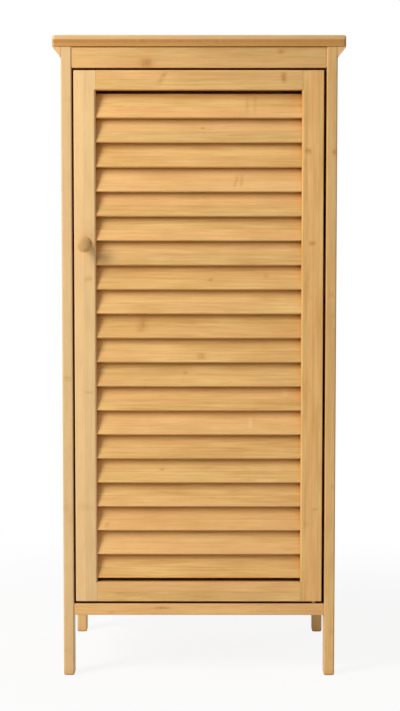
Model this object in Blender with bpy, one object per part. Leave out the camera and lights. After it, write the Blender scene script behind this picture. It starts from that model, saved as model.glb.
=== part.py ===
"""Louvred storage cabinet in laminated bamboo, in metres with +Z up.

Four posts run down as legs. Tenoned rails join them, and thin panels sit in their grooves.
A framed door with fixed slats turns on two pins near its right edge and closes on a magnet.
The origin is on the floor, under the middle of the cabinet's overall box.
"""

import math

import bmesh
import bpy
from mathutils import Matrix, Vector

# Cabinet as a whole
OVERALL_HEIGHT = 0.891
BODY_WIDTH = 0.380
BODY_DEPTH = 0.290
FIT_GAP = 0.0003
EDGE_EASE = 0.0012

# Top board and the mouldings under its side overhangs
TOP_THICKNESS = 0.0157
TOP_SIDE_OVERHANG = 0.0115
TOP_FRONT_OVERHANG = 0.0015
TOP_CORNER_ROUND = 0.004
TOP_UPPER_ROUND = 0.003
TOP_LOWER_ROUND = 0.001
MOULDING_SETBACK = 0.0005
MOULDING_HEIGHT = 0.0132
MOULDING_LIP = 0.0010
MOULDING_HOLLOW = 0.0012

# Posts
POST_WIDTH = 0.0150
POST_DEPTH = 0.025
POST_ROUND = 0.0022
FOOT_ROUND = 0.0025

# Carcass rails
LEG_HEIGHT = 0.0857
FRONT_SETBACK = 0.001
BACK_SETBACK = 0.0015
APRON_HEIGHT = 0.0292
APRON_THICKNESS = 0.0155
FRONT_RAIL_HEIGHT = 0.0165
FRONT_RAIL_THICKNESS = 0.020
SIDE_RAIL_HEIGHT = 0.030
SIDE_RAIL_THICKNESS = 0.013
BACK_RAIL_THICKNESS = 0.015
TENON_THICKNESS = 0.006
TENON_LENGTH = 0.008
TENON_SHOULDER = 0.003

# Panels and the grooves that hold them
SIDE_PANEL_THICKNESS = 0.006
BACK_PANEL_THICKNESS = 0.004
PANEL_TONGUE = 0.0055
BOTTOM_PANEL_THICKNESS = 0.006
BOTTOM_PANEL_RISE = 0.005
BOTTOM_PANEL_TONGUE = 0.003

# Shelves and the cleats under them
SHELF_NAMES = ("shelf_lower", "shelf_upper")
SHELF_THICKNESS = 0.010
SHELF_SIDE_GAP = 0.001
SHELF_DOOR_GAP = 0.0055
SHELF_BACK_GAP = 0.002
CLEAT_WIDTH = 0.014
CLEAT_HEIGHT = 0.018
CLEAT_END_GAP = 0.001

# Door frame
DOOR_THICKNESS = 0.0195
DOOR_LEFT_GAP = 0.0025
DOOR_RIGHT_GAP = 0.0035
DOOR_TOP_GAP = 0.0028
DOOR_BOTTOM_GAP = 0.0032
STILE_WIDTH = 0.030
DOOR_TOP_RAIL_HEIGHT = 0.027
DOOR_BOTTOM_RAIL_HEIGHT = 0.0277
OPENING_ROUND = 0.0028
OPENING_RAIL_ROUND = 0.0014

# Slats
SLAT_COUNT = 20
SLAT_WIDTH = 0.0348
SLAT_THICKNESS = 0.0055
SLAT_EDGE_ROUND = 0.001
SLAT_EDGE_FLAT = 0.001
SLAT_TILT = math.radians(18.5)
SLAT_SETBACK = 0.0027
SLAT_HOUSING = 0.007
SLAT_TOP_SLOT = 0.0043
SLAT_BOTTOM_SLOT = 0.0041

# Knob and its screw
KNOB_BELOW_DOOR_TOP = 0.2383
KNOB_DIAMETER = 0.022
KNOB_NECK_DIAMETER = 0.011
KNOB_FOOT_DIAMETER = 0.015
KNOB_PROJECTION = 0.024
KNOB_FACE_DOME = 0.007
KNOB_BACK_DOME = 0.005
SCREW_DIAMETER = 0.004
SCREW_GRIP = 0.011
SCREW_HEAD_DIAMETER = 0.0085
SCREW_HEAD_HEIGHT = 0.0028

# Door pivots
PIN_DIAMETER = 0.005
PIN_SETBACK = 0.0088
PIN_COLLAR_DIAMETER = 0.0064
PIN_IN_STILE = 0.012
PIN_IN_BUSH = 0.010
PIN_RUNNING_GAP = 0.0001
PIN_WALL = 0.004
SWING_CLEARANCE = 0.0004
BUSH_DIAMETER = 0.008
BUSH_LENGTH = 0.012

# Magnet catch
CATCH_FROM_STILE = 0.012
CATCH_WIDTH = 0.034
CATCH_ON_APRON = 0.014
CATCH_WALL = 0.0025
CATCH_EASE = 0.001
MAGNET_DEPTH = 0.006
MAGNET_HEIGHT = 0.010
MAGNET_PROUD = 0.0005
STRIKE_THICKNESS = 0.0012
STRIKE_MARGIN = 0.002

# Facets of round shapes, how far cutters overshoot, and when two points count as one
ROUND_STEPS = 28
ARC_STEPS = 4
DOME_STEPS = 7
EASE_STEPS = 2
HOLLOW_STEPS = 6
OVERCUT = 0.002
SAME = 0.000001

# Places in the carcass that follow from the sizes
FRONT_REACH = max(KNOB_PROJECTION, TOP_FRONT_OVERHANG)
FRONT_Y = (FRONT_REACH - BODY_DEPTH) / 2
BACK_Y = FRONT_Y + BODY_DEPTH
POST_OUTER_X = BODY_WIDTH / 2
POST_INNER_X = POST_OUTER_X - POST_WIDTH
POST_MIDDLE_X = POST_OUTER_X - POST_WIDTH / 2
FRONT_POST_BACK_Y = FRONT_Y + POST_DEPTH
BACK_POST_FRONT_Y = BACK_Y - POST_DEPTH
TOP_UNDERSIDE_Z = OVERALL_HEIGHT - TOP_THICKNESS
FRAME_TOP_Z = TOP_UNDERSIDE_Z - FIT_GAP
APRON_BOTTOM_Z = TOP_UNDERSIDE_Z - APRON_HEIGHT
APRON_BACK_Y = FRONT_Y + FRONT_SETBACK + APRON_THICKNESS
FRONT_RAIL_TOP_Z = LEG_HEIGHT + FRONT_RAIL_HEIGHT
FRONT_RAIL_BACK_Y = FRONT_Y + FRONT_SETBACK + FRONT_RAIL_THICKNESS
SIDE_RAIL_TOP_Z = LEG_HEIGHT + SIDE_RAIL_HEIGHT
SIDE_RAIL_INNER_X = POST_MIDDLE_X - SIDE_RAIL_THICKNESS / 2
SIDE_PANEL_INNER_X = POST_MIDDLE_X - SIDE_PANEL_THICKNESS / 2
BACK_RAIL_MIDDLE_Y = BACK_Y - BACK_SETBACK - BACK_RAIL_THICKNESS / 2
BACK_RAIL_FRONT_Y = BACK_RAIL_MIDDLE_Y - BACK_RAIL_THICKNESS / 2
BACK_PANEL_FRONT_Y = BACK_RAIL_MIDDLE_Y - BACK_PANEL_THICKNESS / 2
BOTTOM_PANEL_Z = LEG_HEIGHT + BOTTOM_PANEL_RISE
BOTTOM_PANEL_TOP_Z = BOTTOM_PANEL_Z + BOTTOM_PANEL_THICKNESS

# Places in the door that follow from the sizes
DOOR_LEFT_X = DOOR_LEFT_GAP - POST_INNER_X
DOOR_RIGHT_X = POST_INNER_X - DOOR_RIGHT_GAP
DOOR_BACK_Y = FRONT_Y + DOOR_THICKNESS
DOOR_BOTTOM_Z = FRONT_RAIL_TOP_Z + DOOR_BOTTOM_GAP
DOOR_TOP_Z = APRON_BOTTOM_Z - DOOR_TOP_GAP
OPENING_LEFT_X = DOOR_LEFT_X + STILE_WIDTH
OPENING_RIGHT_X = DOOR_RIGHT_X - STILE_WIDTH
OPENING_BOTTOM_Z = DOOR_BOTTOM_Z + DOOR_BOTTOM_RAIL_HEIGHT
OPENING_TOP_Z = DOOR_TOP_Z - DOOR_TOP_RAIL_HEIGHT
KNOB_X = DOOR_LEFT_X + STILE_WIDTH / 2
KNOB_Z = DOOR_TOP_Z - KNOB_BELOW_DOOR_TOP

# The pivot stands just far enough in for the door's front corner to swing past the post
SWING_ROOM = DOOR_RIGHT_GAP - SWING_CLEARANCE
SWING_INSET = (PIN_SETBACK ** 2 - SWING_ROOM ** 2) / (2 * SWING_ROOM)
PIVOT_INSET = max(SWING_INSET, PIN_DIAMETER / 2 + FIT_GAP + PIN_WALL)
PIVOT_X = DOOR_RIGHT_X - PIVOT_INSET
PIVOT_Y = FRONT_Y + PIN_SETBACK

# The shelves stand clear of the door's back corner, which swings inwards at first
BACK_CORNER_REACH = math.hypot(PIVOT_INSET, DOOR_BACK_Y - PIVOT_Y)
SHELF_FRONT_Y = max(PIVOT_Y + BACK_CORNER_REACH, DOOR_BACK_Y) + SHELF_DOOR_GAP

SIDES = {"left": -1, "right": 1}
X_AXIS, Y_AXIS, Z_AXIS = range(3)


class Box:
    """An upright box between two opposite corners."""

    def __init__(self, x, y, z):
        self.low = Vector((min(x), min(y), min(z)))
        self.high = Vector((max(x), max(y), max(z)))

    def grown(self, amount):
        """The same box with every face moved out, to house this one with a gap."""
        low = self.low - Vector((amount, amount, amount))
        high = self.high + Vector((amount, amount, amount))
        return Box((low.x, high.x), (low.y, high.y), (low.z, high.z))

    def on_side(self, side):
        """The box as given for the right side (1), or its mirror image on the left (-1)."""
        x = (side * self.low.x, side * self.high.x)
        return Box(x, (self.low.y, self.high.y), (self.low.z, self.high.z))

    def section(self, axis, station):
        """The box's four corners where a plane square to the axis cuts it."""
        across, up = [other for other in range(3) if other != axis]
        corners = []
        for side, level in ((self.low, self.low), (self.high, self.low),
                            (self.high, self.high), (self.low, self.high)):
            point = Vector()
            point[axis] = station
            point[across] = side[across]
            point[up] = level[up]
            corners.append(point)
        return corners


def display_colour(red, green, blue):
    """Linear colour for the values that a screen shows, each from 0 to 255."""
    channels = []
    for value in (red, green, blue):
        share = value / 255
        if share <= 0.04045:
            channels.append(share / 12.92)
        else:
            channels.append(((share + 0.055) / 1.055) ** 2.4)
    return (*channels, 1.0)


def make_material(name, colour, roughness, metallic=0.0):
    material = bpy.data.materials.new(name)
    material.use_nodes = True
    shader = material.node_tree.nodes["Principled BSDF"]
    shader.inputs["Base Color"].default_value = colour
    shader.inputs["Roughness"].default_value = roughness
    shader.inputs["Metallic"].default_value = metallic
    material.diffuse_color = colour
    return material


def make_materials():
    return {
        "board": make_material("bamboo_board", display_colour(216, 168, 108), 0.42),
        "frame": make_material("bamboo_frame", display_colour(222, 178, 120), 0.42),
        "slat": make_material("bamboo_slat", display_colour(212, 165, 106), 0.45),
        "panel": make_material("bamboo_panel", display_colour(208, 164, 110), 0.50),
        "knob": make_material("bamboo_end_grain", display_colour(176, 122, 70), 0.40),
        "steel": make_material("zinc_plated_steel", display_colour(176, 174, 168), 0.35, 0.9),
        "bush": make_material("brass_bush", display_colour(188, 152, 92), 0.35, 0.9),
        "catch": make_material("catch_plastic", display_colour(108, 72, 44), 0.50),
        "magnet": make_material("ferrite_magnet", display_colour(52, 50, 50), 0.55, 0.3),
    }


def finish_mesh(name, bm, smooth=False):
    bmesh.ops.recalc_face_normals(bm, faces=bm.faces)
    mesh = bpy.data.meshes.new(name)
    bm.to_mesh(mesh)
    bm.free()
    if smooth:
        mesh.shade_smooth()
        mesh.set_sharp_from_angle(angle=math.radians(32.0))
    return mesh


def add_piece(name, mesh, material):
    if not mesh.materials:
        mesh.materials.append(material)
    piece = bpy.data.objects.new(name, mesh)
    bpy.context.scene.collection.objects.link(piece)
    return piece


def add_cutter(name, bm):
    """A solid that cuts others and isn't a piece of the cabinet."""
    cutter = bpy.data.objects.new(name, finish_mesh(name, bm))
    cutter.hide_render = True
    cutter.display_type = "WIRE"
    bpy.context.scene.collection.objects.link(cutter)
    return cutter


def cut(piece, cutter):
    modifier = piece.modifiers.new(cutter.name, "BOOLEAN")
    modifier.operation = "DIFFERENCE"
    modifier.object = cutter


def loft(bm, sections, ring=False):
    """Skin a row of point loops of equal count; a ring also joins the last to the first."""
    loops = []
    for section in sections:
        loops.append([bm.verts.new(point) for point in section])
    pairs = list(zip(loops, loops[1:]))
    if ring:
        pairs.append((loops[-1], loops[0]))
    for first, second in pairs:
        for index in range(len(first)):
            after = (index + 1) % len(first)
            bm.faces.new((first[index], first[after], second[after], second[index]))
    if not ring:
        bm.faces.new(list(reversed(loops[0])))
        bm.faces.new(loops[-1])


def add_box(bm, box):
    loft(bm, [box.section(Z_AXIS, box.low.z), box.section(Z_AXIS, box.high.z)])


def ease_edges(bm, radius, chosen):
    """Round the edges for which the test is true."""
    bmesh.ops.recalc_face_normals(bm, faces=bm.faces)
    edges = [edge for edge in bm.edges if chosen(edge)]
    bmesh.ops.bevel(
        bm, geom=edges, offset=radius, offset_type="OFFSET", segments=EASE_STEPS,
        profile=0.5, affect="EDGES", clamp_overlap=True,
    )


def lies_at(edge, axis, level):
    return all(abs(vert.co[axis] - level) < SAME for vert in edge.verts)


def runs_between(edge, axis, start, end):
    ends = sorted(vert.co[axis] for vert in edge.verts)
    return abs(ends[0] - start) < SAME and abs(ends[1] - end) < SAME


def make_board(name, box, material):
    """A board with all its edges eased."""
    bm = bmesh.new()
    add_box(bm, box)
    ease_edges(bm, EDGE_EASE, lambda edge: True)
    return add_piece(name, finish_mesh(name, bm), material)


def make_plain_box(name, box, material):
    bm = bmesh.new()
    add_box(bm, box)
    return add_piece(name, finish_mesh(name, bm), material)


def rounded_rectangle(box, inset, radius, level):
    """A level outline of the box with its sides moved in and its corners rounded."""
    reach = inset + radius
    corners = (
        (box.high.x - reach, box.high.y - reach), (box.low.x + reach, box.high.y - reach),
        (box.low.x + reach, box.low.y + reach), (box.high.x - reach, box.low.y + reach),
    )
    points = []
    for quarter, (x, y) in enumerate(corners):
        for step in range(ARC_STEPS + 1):
            angle = (quarter + step / ARC_STEPS) * math.pi / 2
            points.append(Vector((x + radius * math.cos(angle), y + radius * math.sin(angle), level)))
    return points


def add_rounded_upright(bm, box, corner_round, lower_round, upper_round):
    """A box with rounded upright edges, and a rounded rim at its foot and at its head."""
    sections = []
    for step in range(ARC_STEPS + 1):
        angle = step / ARC_STEPS * math.pi / 2
        inset = lower_round * (1 - math.sin(angle))
        level = box.low.z + lower_round * (1 - math.cos(angle))
        sections.append(rounded_rectangle(box, inset, corner_round, level))
    if upper_round == 0.0:
        sections.append(rounded_rectangle(box, 0.0, corner_round, box.high.z))
    else:
        for step in range(ARC_STEPS + 1):
            angle = step / ARC_STEPS * math.pi / 2
            inset = upper_round * (1 - math.cos(angle))
            level = box.high.z - upper_round * (1 - math.sin(angle))
            sections.append(rounded_rectangle(box, inset, corner_round, level))
    loft(bm, sections)


def add_cylinder(bm, axis, centre, radius, start, end):
    """A cylinder along an axis; the centre gives the other two coordinates in order."""
    across, up = [other for other in range(3) if other != axis]
    sections = []
    for station in (start, end):
        section = []
        for step in range(ROUND_STEPS):
            angle = 2 * math.pi * step / ROUND_STEPS
            point = Vector()
            point[axis] = station
            point[across] = centre[0] + radius * math.cos(angle)
            point[up] = centre[1] + radius * math.sin(angle)
            section.append(point)
        sections.append(section)
    loft(bm, sections)


def turn_profile(name, profile, material, hollow=False):
    """Turn (radius, height) points round +Z; a hollow piece's profile closes on itself."""
    bm = bmesh.new()
    verts = [bm.verts.new((radius, 0.0, height)) for radius, height in profile]
    edges = [bm.edges.new(pair) for pair in zip(verts, verts[1:])]
    if hollow:
        edges.append(bm.edges.new((verts[-1], verts[0])))
    bmesh.ops.spin(
        bm, geom=verts + edges, cent=(0.0, 0.0, 0.0), axis=(0.0, 0.0, 1.0),
        angle=2 * math.pi, steps=ROUND_STEPS, use_merge=True,
    )
    bmesh.ops.remove_doubles(bm, verts=bm.verts, dist=SAME)
    return add_piece(name, finish_mesh(name, bm, smooth=True), material)


def side_rail_boxes(bottom, top, tenon_bottom, tenon_top):
    """Body and tenon bar of a right-hand side rail; the bar's ends are the tenons."""
    front = FRONT_POST_BACK_Y + FIT_GAP
    back = BACK_POST_FRONT_Y - FIT_GAP
    half = SIDE_RAIL_THICKNESS / 2
    body = Box((POST_MIDDLE_X - half, POST_MIDDLE_X + half), (front, back), (bottom, top))
    half_tenon = TENON_THICKNESS / 2
    bar_x = (POST_MIDDLE_X - half_tenon, POST_MIDDLE_X + half_tenon)
    bar_y = (front - TENON_LENGTH, back + TENON_LENGTH)
    return body, Box(bar_x, bar_y, (tenon_bottom, tenon_top))


def side_rails():
    """Body and tenon bar of the right-hand side rails, by level."""
    past_tongue = PANEL_TONGUE + TENON_SHOULDER
    return {
        "lower": side_rail_boxes(
            LEG_HEIGHT, SIDE_RAIL_TOP_Z, LEG_HEIGHT + TENON_SHOULDER, SIDE_RAIL_TOP_Z - past_tongue),
        "upper": side_rail_boxes(
            APRON_BOTTOM_Z, FRAME_TOP_Z, APRON_BOTTOM_Z + past_tongue, FRAME_TOP_Z - TENON_SHOULDER),
    }


def cross_rail_boxes(left, right, front, thickness, levels, tenon_levels):
    """Body and tenon bar of a rail that runs from left to right between two uprights."""
    body = Box((left + FIT_GAP, right - FIT_GAP), (front, front + thickness), levels)
    middle = front + thickness / 2
    half_tenon = TENON_THICKNESS / 2
    bar_x = (body.low.x - TENON_LENGTH, body.high.x + TENON_LENGTH)
    bar = Box(bar_x, (middle - half_tenon, middle + half_tenon), tenon_levels)
    return body, bar


def carcass_cross_rails():
    """Body and tenon bar of the carcass's left-to-right rails, by name."""
    posts = (-POST_INNER_X, POST_INNER_X)
    front = FRONT_Y + FRONT_SETBACK
    shoulder = TENON_SHOULDER
    past_tongue = PANEL_TONGUE + TENON_SHOULDER
    return {
        "front_apron": cross_rail_boxes(
            *posts, front, APRON_THICKNESS, (APRON_BOTTOM_Z, FRAME_TOP_Z),
            (APRON_BOTTOM_Z + shoulder, FRAME_TOP_Z - shoulder)),
        "front_bottom_rail": cross_rail_boxes(
            *posts, front, FRONT_RAIL_THICKNESS, (LEG_HEIGHT, FRONT_RAIL_TOP_Z),
            (LEG_HEIGHT + shoulder, FRONT_RAIL_TOP_Z - shoulder)),
        "back_top_rail": cross_rail_boxes(
            *posts, BACK_RAIL_FRONT_Y, BACK_RAIL_THICKNESS, (APRON_BOTTOM_Z, FRAME_TOP_Z),
            (APRON_BOTTOM_Z + past_tongue, FRAME_TOP_Z - shoulder)),
        "back_bottom_rail": cross_rail_boxes(
            *posts, BACK_RAIL_FRONT_Y, BACK_RAIL_THICKNESS, (LEG_HEIGHT, SIDE_RAIL_TOP_Z),
            (LEG_HEIGHT + shoulder, SIDE_RAIL_TOP_Z - past_tongue)),
    }


def door_rails():
    """Body and tenon bar of the door's rails, by name."""
    stiles = (OPENING_LEFT_X, OPENING_RIGHT_X)
    shoulder = TENON_SHOULDER + OPENING_ROUND
    return {
        "door_rail_top": cross_rail_boxes(
            *stiles, FRONT_Y, DOOR_THICKNESS, (OPENING_TOP_Z, DOOR_TOP_Z),
            (OPENING_TOP_Z + shoulder, DOOR_TOP_Z - shoulder)),
        "door_rail_bottom": cross_rail_boxes(
            *stiles, FRONT_Y, DOOR_THICKNESS, (DOOR_BOTTOM_Z, OPENING_BOTTOM_Z),
            (DOOR_BOTTOM_Z + shoulder, OPENING_BOTTOM_Z - shoulder)),
    }


def is_end_edge(edge, axis, body):
    """Whether the edge runs round one of the body's two end faces."""
    across, up = [other for other in range(3) if other != axis]
    if not any(lies_at(edge, axis, end) for end in (body.low[axis], body.high[axis])):
        return False
    for other in (across, up):
        levels = (body.low[other], body.high[other])
        if any(min(abs(vert.co[other] - level) for level in levels) > SAME for vert in edge.verts):
            return False
    return True


def make_rail(name, axis, body, bar, material, eased, ends_eased=False):
    """A rail whose ends step down to tenons; the test picks which of its long edges are eased."""
    stations = (
        (bar.low[axis], bar), (body.low[axis], bar), (body.low[axis], body),
        (body.high[axis], body), (body.high[axis], bar), (bar.high[axis], bar),
    )

    def is_eased(edge):
        if runs_between(edge, axis, body.low[axis], body.high[axis]):
            return eased(edge)
        return ends_eased and is_end_edge(edge, axis, body)

    bm = bmesh.new()
    loft(bm, [box.section(axis, station) for station, box in stations])
    ease_edges(bm, EDGE_EASE, is_eased)
    return add_piece(name, finish_mesh(name, bm), material)


def side_panel_box():
    """The right side panel, out to its tongues in the posts and rails."""
    half = SIDE_PANEL_THICKNESS / 2
    return Box(
        (POST_MIDDLE_X - half, POST_MIDDLE_X + half),
        (FRONT_POST_BACK_Y - PANEL_TONGUE, BACK_POST_FRONT_Y + PANEL_TONGUE),
        (SIDE_RAIL_TOP_Z - PANEL_TONGUE, APRON_BOTTOM_Z + PANEL_TONGUE),
    )


def back_panel_box():
    half = BACK_PANEL_THICKNESS / 2
    reach = POST_INNER_X + PANEL_TONGUE
    return Box(
        (-reach, reach),
        (BACK_RAIL_MIDDLE_Y - half, BACK_RAIL_MIDDLE_Y + half),
        (SIDE_RAIL_TOP_Z - PANEL_TONGUE, APRON_BOTTOM_Z + PANEL_TONGUE),
    )


def add_bottom_panel(bm, growth):
    """The bottom panel, notched at its corners round the posts."""
    wide = SIDE_RAIL_INNER_X + BOTTOM_PANEL_TONGUE + growth
    narrow = POST_INNER_X - FIT_GAP + growth
    front = FRONT_RAIL_BACK_Y - BOTTOM_PANEL_TONGUE - growth
    notch_front = FRONT_POST_BACK_Y + FIT_GAP - growth
    notch_back = BACK_POST_FRONT_Y - FIT_GAP + growth
    back = BACK_RAIL_FRONT_Y + BOTTOM_PANEL_TONGUE + growth
    right_edge = [
        (narrow, front), (narrow, notch_front), (wide, notch_front),
        (wide, notch_back), (narrow, notch_back), (narrow, back),
    ]
    left_edge = [(-x, y) for x, y in reversed(right_edge)]
    sections = []
    for level in (BOTTOM_PANEL_Z - growth, BOTTOM_PANEL_TOP_Z + growth):
        sections.append([Vector((x, y, level)) for x, y in right_edge + left_edge])
    loft(bm, sections)


def make_top_board(material):
    half_width = POST_OUTER_X + TOP_SIDE_OVERHANG
    box = Box(
        (-half_width, half_width), (FRONT_Y - TOP_FRONT_OVERHANG, BACK_Y),
        (TOP_UNDERSIDE_Z, OVERALL_HEIGHT),
    )
    bm = bmesh.new()
    add_rounded_upright(bm, box, TOP_CORNER_ROUND, TOP_LOWER_ROUND, TOP_UPPER_ROUND)
    return add_piece("top_board", finish_mesh("top_board", bm), material)


def moulding_profile():
    """Right-hand moulding as (x, z): a short lip, then a shallow hollow down to the post."""
    inner = POST_OUTER_X + FIT_GAP
    outer = POST_OUTER_X + TOP_SIDE_OVERHANG - MOULDING_SETBACK
    bottom = FRAME_TOP_Z - MOULDING_HEIGHT
    start = Vector((outer, FRAME_TOP_Z - MOULDING_LIP))
    chord = Vector((inner + MOULDING_LIP, bottom)) - start
    into_wood = Vector((chord.y, -chord.x)).normalized()
    points = [(inner, FRAME_TOP_Z), (outer, FRAME_TOP_Z)]
    for step in range(HOLLOW_STEPS + 1):
        share = step / HOLLOW_STEPS
        dip = 4 * MOULDING_HOLLOW * share * (1 - share)
        point = start + chord * share + into_wood * dip
        points.append((point.x, point.y))
    points.append((inner, bottom))
    return points


def make_side_mouldings(material):
    for side_name, side in SIDES.items():
        bm = bmesh.new()
        sections = []
        for depth in (FRONT_Y, BACK_Y):
            sections.append([Vector((side * x, depth, z)) for x, z in moulding_profile()])
        loft(bm, sections)
        name = f"side_moulding_{side_name}"
        add_piece(name, finish_mesh(name, bm), material)


def make_post_housings():
    """The tenons and panels that the posts take in, grown by the fitting gap."""
    bm = bmesh.new()
    for side in SIDES.values():
        for body, bar in side_rails().values():
            add_box(bm, bar.on_side(side).grown(FIT_GAP))
        add_box(bm, side_panel_box().on_side(side).grown(FIT_GAP))
    for body, bar in carcass_cross_rails().values():
        add_box(bm, bar.grown(FIT_GAP))
    add_box(bm, back_panel_box().grown(FIT_GAP))
    return add_cutter("post_housings", bm)


def make_posts(material):
    """The four posts, with eased edges, rounded feet, mortises and panel grooves."""
    housings = make_post_housings()
    rows = {"front": (FRONT_Y, FRONT_POST_BACK_Y), "rear": (BACK_POST_FRONT_Y, BACK_Y)}
    for row_name, depth in rows.items():
        for side_name, side in SIDES.items():
            box = Box((POST_INNER_X, POST_OUTER_X), depth, (0.0, FRAME_TOP_Z)).on_side(side)
            bm = bmesh.new()
            add_rounded_upright(bm, box, POST_ROUND, FOOT_ROUND, 0.0)
            name = f"post_{row_name}_{side_name}"
            post = add_piece(name, finish_mesh(name, bm), material)
            cut(post, housings)


def make_panel_grooves():
    """The panels, grown by the fitting gap, for the grooves in the rails."""
    bm = bmesh.new()
    for side in SIDES.values():
        add_box(bm, side_panel_box().on_side(side).grown(FIT_GAP))
    add_box(bm, back_panel_box().grown(FIT_GAP))
    add_bottom_panel(bm, FIT_GAP)
    return add_cutter("panel_grooves", bm)


def make_bush_holes():
    bm = bmesh.new()
    centre = (PIVOT_X, PIVOT_Y)
    radius = BUSH_DIAMETER / 2 + FIT_GAP
    depth = BUSH_LENGTH + FIT_GAP
    add_cylinder(bm, Z_AXIS, centre, radius, APRON_BOTTOM_Z - OVERCUT, APRON_BOTTOM_Z + depth)
    add_cylinder(bm, Z_AXIS, centre, radius, FRONT_RAIL_TOP_Z - depth, FRONT_RAIL_TOP_Z + OVERCUT)
    return add_cutter("bush_holes", bm)


def make_carcass_rails(material):
    grooves = make_panel_grooves()
    bush_holes = make_bush_holes()
    for side_name, side in SIDES.items():
        for level_name, (body, bar) in side_rails().items():
            name = f"side_rail_{level_name}_{side_name}"
            rail = make_rail(
                name, Y_AXIS, body.on_side(side), bar.on_side(side), material, lambda edge: True)
            cut(rail, grooves)
    for name, (body, bar) in carcass_cross_rails().items():
        in_front = name.startswith("front")
        rail = make_rail(
            name, X_AXIS, body, bar, material, lambda edge: True, ends_eased=in_front)
        cut(rail, grooves)
        if in_front:
            cut(rail, bush_holes)


def make_carcass_panels(material):
    for side_name, side in SIDES.items():
        make_plain_box(f"side_panel_{side_name}", side_panel_box().on_side(side), material)
    make_plain_box("back_panel", back_panel_box(), material)
    bm = bmesh.new()
    add_bottom_panel(bm, 0.0)
    add_piece("bottom_panel", finish_mesh("bottom_panel", bm), material)


def make_shelves(shelf_material, cleat_material):
    """Shelves that share the inside evenly, each on a pair of cleats."""
    half_width = POST_INNER_X - SHELF_SIDE_GAP
    storey = (TOP_UNDERSIDE_Z - BOTTOM_PANEL_TOP_Z) / (len(SHELF_NAMES) + 1)
    shelf_y = (SHELF_FRONT_Y, BACK_PANEL_FRONT_Y - SHELF_BACK_GAP)
    cleat_outer = SIDE_PANEL_INNER_X - FIT_GAP
    cleat_y = (FRONT_POST_BACK_Y + CLEAT_END_GAP, BACK_POST_FRONT_Y - CLEAT_END_GAP)
    for number, name in enumerate(SHELF_NAMES, start=1):
        underside = BOTTOM_PANEL_TOP_Z + number * storey - SHELF_THICKNESS / 2
        shelf_z = (underside, underside + SHELF_THICKNESS)
        make_board(name, Box((-half_width, half_width), shelf_y, shelf_z), shelf_material)
        cleat_top = underside - FIT_GAP
        cleat_z = (cleat_top - CLEAT_HEIGHT, cleat_top)
        cleat = Box((cleat_outer - CLEAT_WIDTH, cleat_outer), cleat_y, cleat_z)
        for side_name, side in SIDES.items():
            make_board(f"{name}_cleat_{side_name}", cleat.on_side(side), cleat_material)


def make_hinge_bushes(material):
    """A sleeve in the bottom rail and one in the apron, flush with the wood."""
    bore = PIN_DIAMETER / 2 + PIN_RUNNING_GAP
    outer = BUSH_DIAMETER / 2
    profile = [(bore, 0.0), (outer, 0.0), (outer, BUSH_LENGTH), (bore, BUSH_LENGTH)]
    levels = {"bottom": FRONT_RAIL_TOP_Z - BUSH_LENGTH, "top": APRON_BOTTOM_Z}
    for end_name, level in levels.items():
        bush = turn_profile(f"hinge_bush_{end_name}", profile, material, hollow=True)
        bush.location = (PIVOT_X, PIVOT_Y, level)


def slat_section(growth):
    """A slat's section round its centre as (depth, height), its lower edge leaning forward."""
    radius = min(SLAT_EDGE_ROUND, (SLAT_THICKNESS - SLAT_EDGE_FLAT) / 2)
    reach_depth = SLAT_THICKNESS / 2 - radius
    reach_height = SLAT_WIDTH / 2 - radius
    points = []
    for quarter, (side, level) in enumerate(((1, 1), (-1, 1), (-1, -1), (1, -1))):
        for step in range(ARC_STEPS):
            angle = (quarter + step / (ARC_STEPS - 1)) * math.pi / 2
            depth = side * reach_depth + (radius + growth) * math.cos(angle)
            height = level * reach_height + (radius + growth) * math.sin(angle)
            points.append((
                depth * math.cos(SLAT_TILT) + height * math.sin(SLAT_TILT),
                height * math.cos(SLAT_TILT) - depth * math.sin(SLAT_TILT),
            ))
    return points


def slat_middle_y():
    """Depth of the slats' centres, with their lower edges just behind the door's face."""
    return FRONT_Y + SLAT_SETBACK + max(depth for depth, height in slat_section(0.0))


def slat_levels():
    """Heights of the slats' centres, from the top slat down."""
    reach = max(height for depth, height in slat_section(0.0))
    highest = OPENING_TOP_Z - SLAT_TOP_SLOT - reach
    lowest = OPENING_BOTTOM_Z + SLAT_BOTTOM_SLOT + reach
    pitch = (highest - lowest) / (SLAT_COUNT - 1)
    return [highest - index * pitch for index in range(SLAT_COUNT)]


def add_slat(bm, growth, y, z):
    reach = SLAT_HOUSING + growth
    sections = []
    for x in (OPENING_LEFT_X - reach, OPENING_RIGHT_X + reach):
        sections.append([Vector((x, y + depth, z + height)) for depth, height in slat_section(growth)])
    loft(bm, sections)


def make_opening_router():
    """A mitred ring that rounds the slat opening's front edge, less far up and down the rails."""
    profile = [(-OVERCUT, -OVERCUT, -OVERCUT), (OPENING_ROUND, OPENING_RAIL_ROUND, -OVERCUT)]
    for step in range(1, ARC_STEPS):
        angle = step / ARC_STEPS * math.pi / 2
        share = 1 - math.sin(angle)
        depth = OPENING_ROUND * (1 - math.cos(angle))
        profile.append((OPENING_ROUND * share, OPENING_RAIL_ROUND * share, depth))
    profile.append((-OVERCUT, -OVERCUT, OPENING_ROUND))
    left = (OPENING_LEFT_X, -1)
    right = (OPENING_RIGHT_X, 1)
    bottom = (OPENING_BOTTOM_Z, -1)
    top = (OPENING_TOP_Z, 1)
    sections = []
    for (edge_x, side), (edge_z, up) in ((left, bottom), (right, bottom), (right, top), (left, top)):
        section = []
        for on_stile, on_rail, depth in profile:
            point = Vector((edge_x + side * on_stile, FRONT_Y + depth, edge_z + up * on_rail))
            section.append(point)
        sections.append(section)
    bm = bmesh.new()
    loft(bm, sections, ring=True)
    return add_cutter("opening_router", bm)


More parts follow.
